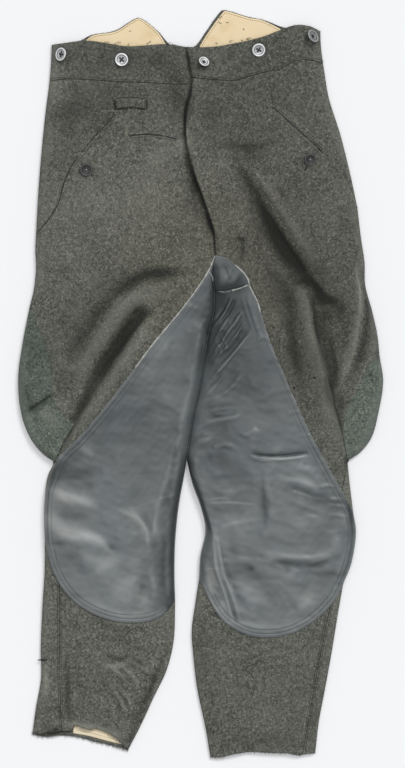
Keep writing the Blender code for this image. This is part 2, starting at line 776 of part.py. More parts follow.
def build_strips():
    """Narrow lips and a strap that lie on the front layer."""
    across = np.linspace(-0.5, 0.5, 3)
    nearby = np.array([(0, 0), (3, 0), (-3, 0), (0, 3), (0, -3)])
    for name, start, middle, end, width, arch, wall, side in STRIPS:
        line = smooth_line([start, middle, end], STRIP_STEP)
        rule = "front_left" if side == "left" else "front"
        share = np.linspace(0.0, 1.0, len(line))
        rows = np.stack([offset_line(line, width * step) for step in across], axis=1)
        flat = rows.reshape(-1, 2)
        seat = np.max([piece_height(flat + step, rule) for step in nearby], axis=0)
        lift = np.repeat(arch * np.sin(np.pi * share), len(across))
        top = seat + STRIP_SEAT + wall + lift
        plan_top = np.column_stack([flat, top])
        plan_low = np.column_stack([flat, top - wall])
        add_object(name, np.vstack([plan_top, plan_low]),
                   slab_faces(len(line), len(across)), "wool")


def slab_faces(rows, columns):
    """Faces of a slab whose top grid and bottom grid follow each other in the points."""
    half = rows * columns
    grid = np.arange(half).reshape(rows, columns)
    low = grid[:-1, :-1].ravel(), grid[:-1, 1:].ravel()
    high = grid[1:, 1:].ravel(), grid[1:, :-1].ravel()
    quads = np.column_stack([low[0], high[1], high[0], low[1]])
    rim = np.concatenate([
        grid[0, :], grid[1:, -1], grid[-1, -2::-1], grid[-2:0:-1, 0],
    ])
    faces = [tuple(quad) for quad in quads]
    faces += [tuple(quad[::-1] + half) for quad in quads]
    following = np.roll(rim, -1)
    faces += [(int(p), int(q), int(q + half), int(p + half)) for p, q in zip(rim, following)]
    return faces


def build_buttons():
    """Dished buttons, each turned as it lies and seated on the cloth below it."""
    turn = np.linspace(0.0, 2.0 * np.pi, BUTTON_SIDES, endpoint=False)
    ring = np.column_stack([np.cos(turn), np.sin(turn)])
    for name, x, y, radius, about_y, about_x, rule in BUTTONS:
        rings = [
            np.column_stack([ring * radius * share, np.full(BUTTON_SIDES, height)])
            for share, height in BUTTON_PROFILE
        ]
        points = np.vstack(rings)
        cos_y, sin_y = math.cos(math.radians(about_y)), math.sin(math.radians(about_y))
        cos_x, sin_x = math.cos(math.radians(about_x)), math.sin(math.radians(about_x))
        turn_y = np.array([(cos_y, 0.0, sin_y), (0.0, 1.0, 0.0), (-sin_y, 0.0, cos_y)])
        turn_x = np.array([(1.0, 0.0, 0.0), (0.0, cos_x, -sin_x), (0.0, sin_x, cos_x)])
        points = points @ (turn_y @ turn_x).T
        points[:, :2] += (x, y)
        clear = piece_height(points[:, :2], rule) - points[:, 2]
        points[:, 2] += clear.max() + BUTTON_SEAT
        faces = []
        for row in range(len(rings) - 1):
            for step in range(BUTTON_SIDES):
                a = row * BUTTON_SIDES + step
                b = row * BUTTON_SIDES + (step + 1) % BUTTON_SIDES
                faces.append((a, b, b + BUTTON_SIDES, a + BUTTON_SIDES))
        faces.append(tuple(range(BUTTON_SIDES))[::-1])
        last = (len(rings) - 1) * BUTTON_SIDES
        faces.append(tuple(range(last, last + BUTTON_SIDES)))
        finish_name = "horn" if name.startswith("pocket") else "zinc"
        add_object(name, points, faces, finish_name)


def main():
    """Build the whole garment."""
    clear_scene()
    build_front()
    build_back()
    build_linings()
    build_strips()
    build_buttons()


main()
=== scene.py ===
"""Riding breeches of field-grey wool with leather inner legs, laid out flat, front up.

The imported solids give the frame. Every cloth and leather piece is a pattern piece here too:
a grid between two side curves, lifted by the relief of the garment and given its thickness.
X runs across the garment, +Y points to the waist and +Z up from the floor. Right and left
in names are the wearer's, so "right" is at -X. Lengths are millimetres until a mesh is made.
"""

from __future__ import annotations

import logging
import math
from dataclasses import dataclass
from enum import Enum

import bpy
import numpy as np
from mathutils import Matrix, Vector


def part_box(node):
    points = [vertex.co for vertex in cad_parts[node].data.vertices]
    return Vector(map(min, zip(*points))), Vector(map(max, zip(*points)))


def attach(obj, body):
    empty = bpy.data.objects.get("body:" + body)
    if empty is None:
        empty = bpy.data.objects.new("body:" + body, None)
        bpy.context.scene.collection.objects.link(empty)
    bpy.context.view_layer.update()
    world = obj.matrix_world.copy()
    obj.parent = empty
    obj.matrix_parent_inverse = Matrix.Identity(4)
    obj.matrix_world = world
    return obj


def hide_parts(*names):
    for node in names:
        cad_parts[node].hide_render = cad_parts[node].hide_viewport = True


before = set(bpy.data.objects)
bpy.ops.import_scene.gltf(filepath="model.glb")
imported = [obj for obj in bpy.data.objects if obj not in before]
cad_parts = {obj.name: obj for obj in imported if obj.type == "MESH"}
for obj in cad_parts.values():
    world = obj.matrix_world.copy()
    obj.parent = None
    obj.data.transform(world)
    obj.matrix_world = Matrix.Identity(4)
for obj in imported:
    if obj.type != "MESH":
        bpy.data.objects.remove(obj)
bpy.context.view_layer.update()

LOG = logging.getLogger("breeches")
MM = 0.001
BODY_NAME = "root"

# Cloth, as the solids have it
WOOL = 2.0
BAND = 3.0
LEATHER = 1.2
COTTON = 0.8
GAP = 0.3
LEATHER_GAP = 0.75

Array = np.ndarray
Object = bpy.types.Object
Material = bpy.types.Material
Socket = bpy.types.NodeSocket
Colour = tuple[float, float, float]
Places = tuple[tuple[float, ...], ...]
Shape = tuple[Array, list[Array]]


class Side(Enum):
    """Halves of the garment: the wearer's right lies at -X, the left at +X."""

    RIGHT = "right"
    LEFT = "left"


def side_of(name: str) -> Side:
    """The half that a name ends with; the crotch and the edge of the fly belong to the left."""
    return Side.RIGHT if name.endswith("right") else Side.LEFT


class Layer(Enum):
    """What a piece of the front is, which sets how it lies over the others."""

    BAND = "band"
    HIP = "hip"
    FRONT = "front"
    LEATHER = "leather"


class Slot(Enum):
    """The record's material slots."""

    WOOL = "wool"
    FLARE = "flare_wool"
    LEATHER = "leather"
    COTTON = "cotton"
    ZINC = "zinc"
    HORN = "horn"


def entries(text: str) -> list[list[str]]:
    """A table's entries, which semicolons part, each as its head and what follows the colon."""
    return [entry.strip().split(":") for entry in text.split(";") if entry.strip()]


def places_of(text: str) -> Places:
    """Places written as "x,y x,y"."""
    return tuple(tuple(map(float, place.split(","))) for place in text.split())


def parts_of(text: str) -> dict[str, list[str]]:
    """A table's entries by name, each split at its slashes."""
    return {name: [part.strip() for part in parts.split("/")] for name, parts in entries(text)}


def rows_of(text: str) -> list[tuple[Places, list[float]]]:
    """A table's paths and their numbers, from entries such as "number number: x,y x,y"."""
    return [(places_of(path), list(map(float, head.split()))) for head, path in entries(text)]


# Outline curves by name; neighbours share their end places
CURVES = {name: places_of(path) for name, path in entries("""
band_top_right: -209,474 -189,477 -161,480 -136,477 -102,472 -48,475 -21,471;
band_top_lap: -21,471 17,470; band_top_left: -21,471 15,471 46,476 85,485 119,498 134,502 153,500 167,493;
band_side_right: -209,474 -210,449 -212,423; band_side_left: 167,493 168,471 171,448;
band_seam_hip_right: -212,423 -188,426 -155,425 -116,422;
band_seam_right: -116,422 -78,421 -43,419 -13,419; band_seam_lap: -13,419 17,419;
front_seam_lap: -13,419 8,419; band_lap_end: 17,470 17,419;
band_seam_left: -14,428 21,425 46,424 69,430 94,437;
band_seam_hip_left: 94,437 111,440 129,450 147,453 171,448; fly_band: -21,471 -19,453 -14,428;
fly_edge: -14,428 -13,410 -20,389 -22,358 -17,317 -4,279 10,240 18,211 20,179;
fly_lap: 8,419 3,386 1,355 6,317 15,279 24,243 25,208 20,179;
hip_side_right: -212,423 -218,376 -224,316 -228,264 -231,209;
hip_side_left: 171,448 179,400 195,349 209,293 219,246; slash_up_right: -116,422 -120,379;
slash_up_left: 94,437 100,391; slash_right: -120,379 -148,346 -178,309 -193,275 -204,244;
slash_end_right: -204,244 -217,225 -231,209; slash_left: 100,391 139,356 171,327 193,302;
slash_end_left: 193,302 207,277 219,246;
slash_lap_right: -120,379 -118,363 -137,333 -165,298 -182,267 -204,244;
slash_lap_left: 100,391 99,372 130,341 168,306 193,302;
side_right: -231,209 -232,187 -231,162 -234,132 -239,111;
side_left: 219,246 224,204 229,170 230,138 240,100 247,68 250,39;
flare_right: -239,111 -249,61 -256,8 -252,-41 -239.5,-75.5 -222.5,-97.5 -205,-110;
flare_left: 250,39 255,2 248,-43 239,-75 223,-96 205,-108;
gusset_seam_right: -239,111 -231,83 -216,50 -208,13 -208,-17 -197,-40 -176,-57;
gusset_seam_left: 250,39 232,23 220,-6 204,-34 199,-57 199,-76;
fold_end_right: -176,-57 -189,-76 -205,-110; fold_end_left: 199,-76 202,-93 205,-108;
thigh_side_right: -205,-110 -214,-128 -218,-149; knee_side_right: -218,-149 -220,-180 -219,-219;
calf_side_right: -219,-219 -219,-261 -222,-310 -224.5,-370 -224,-412 -231,-453 -236,-489;
thigh_side_left: 205,-108 208,-138 213,-179; knee_side_left: 213,-179 217,-208 211,-250 199,-281;
calf_side_left: 199,-281 192,-321 183,-376 174,-426 165,-474 160,-517;
calf_seam_right: -205,-110 -201,-177 -198,-303 -198,-373 -197,-429 -195,-486;
calf_seam_left: 205,-108 192,-184 185,-282 168,-373 155,-444 142,-519;
hem_strip_right: -236,-489 -226,-491 -217,-488.5 -207,-489 -195,-486;
hem_front_right: -195,-486 -186,-486.5 -181,-485 -177,-478.6 -168,-480.8 -161,-483.4 -153,-484 -147,-482.4
-134,-487.6 -121,-494.6 -113,-502 -102,-512.8; hem_strip_left: 160,-517 142,-519;
hem_front_left: 142,-519 138.6,-520.4 120,-517.4 97,-516.9 69,-515.4 48,-518.2 27,-523 13,-523;
inner_calf_right: -102,-512.8 -84,-478 -66,-439 -48,-401 -38,-359 -36,-304;
inner_knee_right: -36,-304 -37,-261 -35.6,-216 -30.6,-169 -23,-127 -20,-107;
inner_calf_left: 13,-523 6,-481 -5,-429 -11,-380 -13,-345 -8,-307 -3,-274;
inner_knee_left: -3,-274 -1,-241 6,-205 -1,-171 -12,-141 -20,-107;
crease_low: -20,-107 -12,-52 -1,-2 10,67 18,100 19,129; crease_top: 19,129 17,148 20,179;
leather_edge_right: 20,179 8,152 -22,110 -68,54 -126,-23 -171,-76 -199,-104 -218,-149;
leather_foot_right: -219,-219 -209,-258 -193,-288 -169,-312 -129,-330 -88,-334 -55,-325 -36,-304;
crotch_top: 20,179 34,176 50,165 64,153 67,139; crotch_joint: 67,139 42,132 19,129;
leather_edge_left: 67,139 80,114 95,62 123,-5 153,-71 186,-131 213,-179;
leather_foot_left: 199,-281 185,-306 156,-334 125,-350 88,-355 55,-348 25,-325 -3,-274;
peak_right: -209,474 -190,473 -171,479 -154,488 -121,494 -94,510 -85,512 -59,492 -44,475 -27,468;
peak_left: -27,468 -9,472 6,492 28,522 34,523 68,513 88,509 118,498 140,497 167,493;
notch_seam: -27,468 -24,421; back_seam_right: -212,423 -120,421 -24,421;
back_seam_left: -24,421 70,430 171,448; seat_seam: -24,421 -8,300 20,179;
hem_back_right: -236,-489 -226,-493 -213,-494 -199,-492 -182,-493 -169,-495.2 -152,-500 -131,-504.8
-112,-510 -102,-512.8;
leather_back_right: 20,179 -24,96 -78,10 -120,-80 -134,-170 -118,-250 -80,-295 -36,-304;
leather_back_left: 20,179 60,100 102,10 128,-80 134,-160 116,-230 62,-272 -3,-274;
lining_top_right: -168,474 -152,487 -120,493 -94,508.8 -85,511 -60,491.5 -47,471;
lining_end_right: -168,474 -160,438; lining_fly_right: -47,471 -42,438;
lining_low_right: -160,438 -100,432 -42,438;
lining_top_left: -2,472 9,490 30,519 34,521.8 67,512.2 87,508.2 114,495; lining_fly_left: -2,472 6,438;
lining_end_left: 114,495 120,460; lining_low_left: 6,438 70,440 120,460;
strip_top: -179,-462 -150,-466 -106,-484; strip_end: -179,-462 -179,-489.4;
strip_end_inner: -106,-484 -110,-505.2; strip_low: -179,-489.4 -156,-493.5 -134,-499.5 -110,-505.2
""")}


def smooth_line(points: Places, step: float) -> Array:
    """A smooth curve through the points, resampled at about the given step.

    Each stretch is a cubic whose end tangents run parallel to the chord of the neighbours.

    Args:
        points: The points that the curve passes.
        step: Distance between the points of the result.

    Returns:
        Points of the curve, one row each.
    """
    points = np.asarray(points, float)
    if len(points) == 2:
        count = max(1, round(float(np.hypot(*(points[1] - points[0]))) / step))
        share = np.linspace(0.0, 1.0, count + 1)[:, None]
        return points[0] * (1.0 - share) + points[1] * share
    path = np.vstack([2.0 * points[0] - points[1], points, 2.0 * points[-1] - points[-2]])
    first, start, end, last = path[:-3], path[1:-2], path[2:-1], path[3:]
    reach = np.linalg.norm(end - start, axis=1)[:, None]
    leave = (end - first) / np.linalg.norm(end - first, axis=1)[:, None] * reach
    arrive = (last - start) / np.linalg.norm(last - start, axis=1)[:, None] * reach
    cubic = 2.0 * start - 2.0 * end + leave + arrive
    square = -3.0 * start + 3.0 * end - 2.0 * leave - arrive
    share = np.linspace(0.0, 1.0, 24, endpoint=False)[None, :, None]
    powers = enumerate((start, leave, square, cubic))
    dense = sum(part[:, None, :] * share**power for power, part in powers)
    return resample(np.vstack([dense.reshape(-1, points.shape[1]), points[-1:]]), step)


def run_of(line: Array) -> Array:
    """Length of a line up to each of its points."""
    return np.concatenate([[0.0], np.cumsum(np.linalg.norm(np.diff(line, axis=0), axis=1))])


def walked(line: Array, lengths: Array, wanted: Array) -> Array:
    """Points of a line where a measure that rises along it has the wanted values."""
    return np.stack([np.interp(wanted, lengths, column) for column in line.T], axis=-1)


def resample(line: Array, step: float) -> Array:
    """The same line, both ends kept, with its points at an even distance of about the step."""
    along = run_of(line)
    return walked(line, along, np.linspace(0.0, along[-1], max(2, round(along[-1] / step)) + 1))


def curve(name: str, step: float = 2.0) -> Array:
    """A named outline curve as points.

    Args:
        name: A key of CURVES. A minus sign before it walks it backwards; "<" after it keeps
            its start as far as its lowest point, and ">" its end, walked down to that point.
        step: Distance between the points.

    Returns:
        Points of the curve, one row each.
    """
    line = smooth_line(CURVES[name.strip("-<>")], step)
    lowest = int(np.argmin(line[:, 1]))
    if name.endswith("<"):
        return line[: lowest + 1]
    if name.endswith(">"):
        return line[lowest:][::-1]
    return line[::-1] if name.startswith("-") else line


def chain(names: str, step: float = 2.0) -> Array:
    """Named curves, separated by spaces, as one open line."""
    parts = [curve(name, step) for name in names.split()]
    return np.vstack([parts[0]] + [part[1:] for part in parts[1:]])


def left_of(run: Array) -> Array:
    """Directions of length 1 to the left of the given ones, in plan."""
    run = run[:, :2] / np.maximum(np.hypot(run[:, 0], run[:, 1])[:, None], 1e-9)
    return np.column_stack([-run[:, 1], run[:, 0]])


def beside(line: Array, distance: float) -> Array:
    """Points of a line moved to its left by a distance, or to its right where it is negative."""
    return line[:, :2] + left_of(np.gradient(line[:, :2], axis=0)) * distance


def measure_line(line: Array, points: Array) -> tuple[Array, ...]:
    """How the points lie beside a line: the nearest of its stretches counts.

    Args:
        line: Points of the line.
        points: The points to measure, one row each.

    Returns:
        Distance, side (1 to the left of the walking direction, -1 to the right), and the
        share of the line's length at the nearest place.
    """
    along = run_of(line)
    nearest = np.full(len(points), np.inf)
    side = np.ones(len(points))
    place = np.zeros(len(points))
    for start, end, length, before in zip(line[:-1], line[1:], np.diff(along), along):
        run = (end - start) / max(length, 1e-9)
        offset_x, offset_y = points[:, 0] - start[0], points[:, 1] - start[1]
        forward = np.clip(offset_x * run[0] + offset_y * run[1], 0.0, length)
        away = np.hypot(offset_x - forward * run[0], offset_y - forward * run[1])
        closer = away < nearest
        nearest[closer] = away[closer]
        turn = run[0] * offset_y - run[1] * offset_x
        side[closer] = np.where(turn[closer] >= 0.0, 1.0, -1.0)
        place[closer] = (before + forward[closer]) / along[-1]
    return nearest, side, place


def quarter_round(distance: Array, radius: float) -> Array:
    """Rises from 0 at an edge to 1 at the radius, as a quarter circle does."""
    return np.sqrt(1.0 - (1.0 - np.clip(distance / radius, 0.0, 1.0)) ** 2)


def fade(value: Array, low: float, high: float) -> Array:
    """Falls smoothly from 1 at low to 0 at high."""
    share = np.clip((value - low) / (high - low), 0.0, 1.0)
    return 1.0 - share * share * (3.0 - 2.0 * share)


def bell(distance: Array, width: float | Array) -> Array:
    """A bell curve of height 1 that falls to 0.37 at the width."""
    return np.exp(-((distance / width) ** 2))


def ripple(points: Array, seed: int, shortest: float, longest: float) -> Array:
    """Soft unevenness: the sum of plane waves of random direction, phase and length.

    Args:
        points: Where it is wanted, one row each.
        seed: Seed of the random draws.
        shortest: Shortest wave length.
        longest: Longest wave length.

    Returns:
        A height of about -1 to 1 for each point.
    """
    waves = 16
    draw = np.random.default_rng(seed)
    heading = draw.uniform(0.0, 2.0 * np.pi, waves)
    length = np.exp(draw.uniform(math.log(shortest), math.log(longest), waves))
    phase = draw.uniform(0.0, 2.0 * np.pi, waves)
    wave = np.array([np.cos(heading), np.sin(heading)]) * 2.0 * np.pi / length
    return np.sin(points[:, :2] @ wave + phase).sum(axis=1) / math.sqrt(waves)


@dataclass(frozen=True)
class Mark:
    """A soft mark along a smooth path: across it a bell curve with a width for each side."""

    path: Places
    amount: float
    left: float
    right: float

    STEP = 5.0
    REACH = 3.0

    def along(self, place: Array) -> Array:
        """Strength at shares of the path: s(2 - s), where s is half a sine wave."""
        arc = np.sin(np.pi * np.clip(place, 0.0, 1.0)).clip(0.0)
        return arc * (2.0 - arc)

    def at(self, points: Array) -> Array:
        """What the mark adds at each point.

        Args:
            points: Places in plan, one row each.

        Returns:
            The amount, 0 away from the path.
        """
        line = smooth_line(self.path if len(self.path) > 1 else self.path * 2, self.STEP)
        reach = self.REACH * max(self.left, self.right)
        low, high = line.min(axis=0) - reach, line.max(axis=0) + reach
        near = np.all((points > low) & (points < high), axis=1)
        added = np.zeros(len(points))
        if near.any():
            away, side, place = measure_line(line, points[near])
            across = bell(away, np.where(side > 0.0, self.left, self.right))
            added[near] = self.amount * across * self.along(place)
        return added


class Crease(Mark):
    """A soft ridge, or a trough where its amount is negative."""


class Stroke(Mark):
    """A streak of painted shade, or of painted highlight where its amount is negative; with one place, a
    spot.
    """

    STEP = 6.0
    REACH = 2.6

    def along(self, place: Array) -> float | Array:
        """Strength at shares of the path: a third at both ends, the same all over a spot."""
        return 1.0 if len(self.path) == 1 else 0.35 + 0.65 * np.sin(np.pi * place)


def marks_of(kind: type[Mark], text: str) -> list[Mark]:
    """The marks of a table: amount, one width or a left and a right one, then the places."""
    return [kind(path, head[0], head[1], head[-1]) for path, head in rows_of(text)]


@dataclass(frozen=True)
class Gathers:
    """Crowded small wrinkles: bent waves that die away round a centre."""

    centre: tuple[float, float]
    reach: tuple[float, float]
    turned: float
    length: float
    rise: float

    def at(self, points: Array) -> Array:
        """Height of the wrinkles.

        Args:
            points: Places in plan, one row each.

        Returns:
            The height, 0 away from the centre.
        """
        turn = math.radians(self.turned)
        across = points @ np.array([math.cos(turn), math.sin(turn)])
        along = points @ np.array([-math.sin(turn), math.cos(turn)])
        zone = bell(points[:, 0] - self.centre[0], self.reach[0])
        zone *= bell(points[:, 1] - self.centre[1], self.reach[1])
        bend = 0.55 * self.length * np.sin(along / (2.0 * self.length))
        bend += 0.3 * self.length * np.sin(along / (0.8 * self.length) + across / (1.4 * self.length))
        wave = np.sin(2.0 * np.pi * (across + bend) / self.length)
        cross = np.sin(2.0 * np.pi * (along + 2.0 * np.sin(across / 4.0)) / (1.7 * self.length))
        return self.rise * zone * wave * (1.0 + 0.5 * cross)


# Zones of small wrinkles: by the crotch and on the calves
GATHERS = {
    Side.RIGHT: [
        Gathers((-100, -412), (26, 34), 52.0, 11.0, 0.5),
        Gathers((-130, -362), (50, 22), 80.0, 19.0, 0.4),
        Gathers((-205, -400), (14, 60), 75.0, 16.0, 0.4),
    ],
    Side.LEFT: [
        Gathers((26, 62), (24, 40), -33.0, 8.5, 0.28),
        Gathers((66, 48), (20, 40), -80.0, 7.0, 0.14),
        Gathers((20, -62), (36, 30), 80.0, 12.0, 0.25),
        Gathers((90, -400), (70, 60), 75.0, 26.0, 0.3),
    ],
}

# The large folds of the solids. An entry holds height and width, or height and the widths to
# the left and to the right of the walking direction, and then its places.
FOLDS = {
    Side.RIGHT: marks_of(Crease, """
10 36 6: -83,89 -130,18 -195,-96; -6 9 13: -73,106 -123,47 -169,-20; -4.5 17: -22,160 -102,151 -195,30;
4 16: -60,117 -133,92 -181,-3; 6 12 36: 8,90 -8,5 -28,-100; 2.5 18 12: -39,-93 -60,-170 -68,-248
    """),
    Side.LEFT: marks_of(Crease, """
10 6 34: 155,81 182,-23 207,-121; -5.5 9: 165,104 180,40 190,-10; -5 16: 49,327 94,240 175,106;
4 12: 143,134 147,100 151,68; 4 6 17: 216,162 225,103 207,5; 4 17 5: -15,408 -20,348 7,246;
-1.4 4: 70,-97 104,-102 150,-96; 1.6 9: 73,-111 111,-117 147,-110; 3 15 6: 7,-188 24,-261 56,-331
    """),
}

# The finer creases of thigh and hip, leather and calf, in entries of the same kind
CREASES = {
    Side.RIGHT: marks_of(Crease, """
-5 9 12: -14,151 -50,153 -76,150 -102,136 -132,107 -160,63 -180,24;
-6.5 3 15: -64,103 -79,94 -92,75 -110,45 -126,19 -142,-8 -155,-28 -170,-50;
-3.2 2.2 7: -150,-4 -167,-37 -180,-63 -196,-90; 2.2 10: -60,126 -84,122 -109,98 -137,60 -155,28;
-2.4 3 5: -244,-42 -228,-36 -212,-20; -3.2 22: -164,412 -189,385 -204,345;
-1.6 14 16: -228,160 -190,152 -150,158; -2.4 9: -27,408 -35,389 -27,363;
-5.5 5 15: -18,372 -16,327 -5,275 9,230 16,200; 1.2 30: -70,330 -60,280 -45,230;
1.2 7: -172,-87 -160,-96 -146,-101; -1.2 9: -203,-135 -175,-141 -144,-146;
2 9: -211,-145 -183,-159 -147,-173; -1 8: -206,-183 -181,-187 -153,-192;
2.4 11: -213,-194 -175,-208 -125,-230; -1.2 6 5: -137,-213 -122,-232 -108,-241;
-1 4 5: -210,-227 -192,-225 -169,-226; 2 5 6: -111,-174 -90,-187 -77,-206 -76,-233;
1 6 4: -37,-83 -49,-132 -60,-171 -69,-219 -71,-250; 0.9 3: -60,-162 -46,-159 -32,-157;
1.5 8: -94,-268 -98,-297 -99,-325; 1.8 7: -71,-255 -67,-289 -67,-320; -0.7 6: -83,-264 -83,-295 -84,-320;
1.4 12: -161,-255 -130,-268 -102,-281; 1.2 12: -127,-121 -99,-135 -71,-141;
-1 12: -144,-73 -106,-83 -71,-87; -4.4 3: -231,-388 -221,-387 -211,-386;
2.4 4: -228,-397 -218,-398 -209,-404; -2.4 4: -141,-379 -111,-387 -77,-398;
-2 3: -99,-380 -84,-394 -70,-409; 1.8 3: -125,-398 -105,-411 -91,-429;
-1.8 3: -119,-409 -102,-423 -94,-440; -1.6 3: -136,-429 -116,-443 -99,-454;
1.6 3: -130,-421 -111,-432 -95,-449; -1.6 5: -181,-429 -153,-429 -127,-435;
1.6 8: -192,-359 -155,-353 -85,-345; -1.4 7: -147,-337 -116,-342 -71,-337
    """),
    Side.LEFT: marks_of(Crease, """
-2.6 8 9: 24,336 42,331 64,333 82,340;
-6.5 6 22: 53,306 63,284 76,262 89,240 104,217 121,191 138,166 154,142 168,122;
2.6 9 5: 50,313 73,296 91,271 108,246 127,218 145,191 162,169; -2.6 9: 116,122 117,92 125,50 138,10;
3.6 3.4 9: 138,150 142,131 148,107 154,71 166,33 178,-5 189,-34;
-3.2 6 2.4: 166,24 180,-10 190,-40 200,-72; 3 2.6 7: 218,174 223,128 220,89 209,47 196,6 186,-24;
-2.4 5 3: 229,140 229,100 222,60 210,20; -2.2 4 5: 54,213 59,209 70,211; -2 3.6 4.5: 58,206 56,186 59,166;
-2 26: 52,300 70,250 84,200 94,160; -2 14: 190,250 205,210 212,170;
-1.6 2.2 1.8: 69,-96 80,-101 102,-101 130,-99 151,-96;
1.4 2 2.4: 67,-100 80,-106 105,-106 133,-104 151,-100; 1.8 3 4: 3,-55 29,-50 56,-45;
-1.7 4 3: 6,-48 29,-41 49,-38; 1.7 4 5: -14,-87 0,-80 15,-76; -1.4 5 4: -7,-71 15,-65 38,-64;
1.3 4: 15,-90 34,-86 52,-92; 1.3 4: 55,-73 69,-68 78,-62; -0.9 5 6: 81,-113 85,-152 87,-205;
1.1 6: 94,-121 98,-163 97,-198; -1.9 7 5: 119,-143 147,-152 181,-160; 2.4 7 6: 133,-115 158,-128 174,-148;
-1.4 6: 109,-163 134,-176 169,-181; 1.3 8: 85,-174 118,-191 155,-197;
-1.8 7 6: 35,-239 69,-241 105,-248 139,-254 169,-253 190,-243; 2 5 4: 102,-241 130,-244 161,-244 193,-233;
2.2 8: 181,-205 190,-222 186,-240; 1.8 9 7: 66,-261 111,-267 150,-282;
2 3.4: 15,-202 19,-233 21,-258 32,-290 45,-331; -1.4 2.4: 20,-226 24,-258 35,-290 50,-334;
2 3.6 3.4: 22,-212 27,-243 31,-265 42,-292 55,-327; 1.4 4: 7,-260 22,-262 29,-286 42,-321;
-1.8 4 5: 3,-191 7,-226 4,-255; -1.3 8: 106,-279 112,-303 125,-323; 1.1 9: 43,-289 69,-309 94,-320;
1.1 2.5: 175,-159 188,-162 200,-163; 1 2.5: 176,-170 189,-171 203,-173;
1.1 2.5: 178,-185 190,-184 203,-188; 1.1 2.5: 164,-146 176,-143 189,-146; 1 2.5: 136,-75 147,-72 158,-73;
1 2.5: 119,-43 129,-40 139,-40; 1.1 6: 85,-17 111,-9 133,-6; -1 6: 69,-30 97,-26 125,-27;
1.3 7 6: 52,-121 29,-127 7,-121; 1.3 6 7: 7,-145 38,-152 69,-146; 1.7 2.5 3: 59,102 39,69 18,43;
1.4 2.5: 52,113 35,88 21,67; 1.2 2.5: 63,86 45,61 15,30; 1.5 3: 35,16 21,-1 3,-20;
1.2 4: 60,16 41,-6 17,-24; 1.2 3: 63,125 71,99 85,58; 0.8 3: 56,127 63,100 74,69; 1 3: 77,61 88,64 99,58;
-4 10 6: 25,128 20,108 14,88; -1.5 3: 28,167 35,156 41,142; 1.4 3: 43,162 38,151 29,139;
1 3: 53,156 46,145 39,138; 2.6 1.6 2.2: 44.1,121.2 37.8,108.6 30.8,96 21,84.8 11.2,73.6;
-2.2 2.2 2.4: 39.2,118.4 32.2,105.8 25.2,94.6 15.4,84.8; -1.8 2: 47.6,117 42,104.4 35,93.2 26.6,82;
2.4 1.6 2.4: 71.4,73.6 60.2,59.6 49,45.6 33.6,27.4 14,3.6;
-1.8 2.2 2.4: 64.4,75 53.2,59.6 40.6,44.2 25.2,27.4; 1.7 1.4 1.8: 56.7,100.2 47.6,86.2 37.8,72.2 28,56.8;
-1.3 1.6: 49,83.4 39.2,68 28,52.6; 1.2 1.3 1.6: 60.2,86.2 51.8,72.2 42,59.6;
1.4 1.3 1.5: 35,86.2 26.6,73.6 16.8,59.6; 0.9 1.2: 25.2,69.4 32.2,59.6 36.4,47;
0.9 1.2: 16.8,61 25.2,51.2 29.4,37.2; 0.9 1.2 1.4: 51.8,56.8 39.2,42.8 29.4,30.2;
-1.4 8: 29,-359 43,-394 49,-443; 1.4 12: 69,-373 85,-429 85,-485; -1.2 9: 125,-359 119,-415 111,-471;
1.4 9: 20,-376 55,-381 97,-373
    """),
}


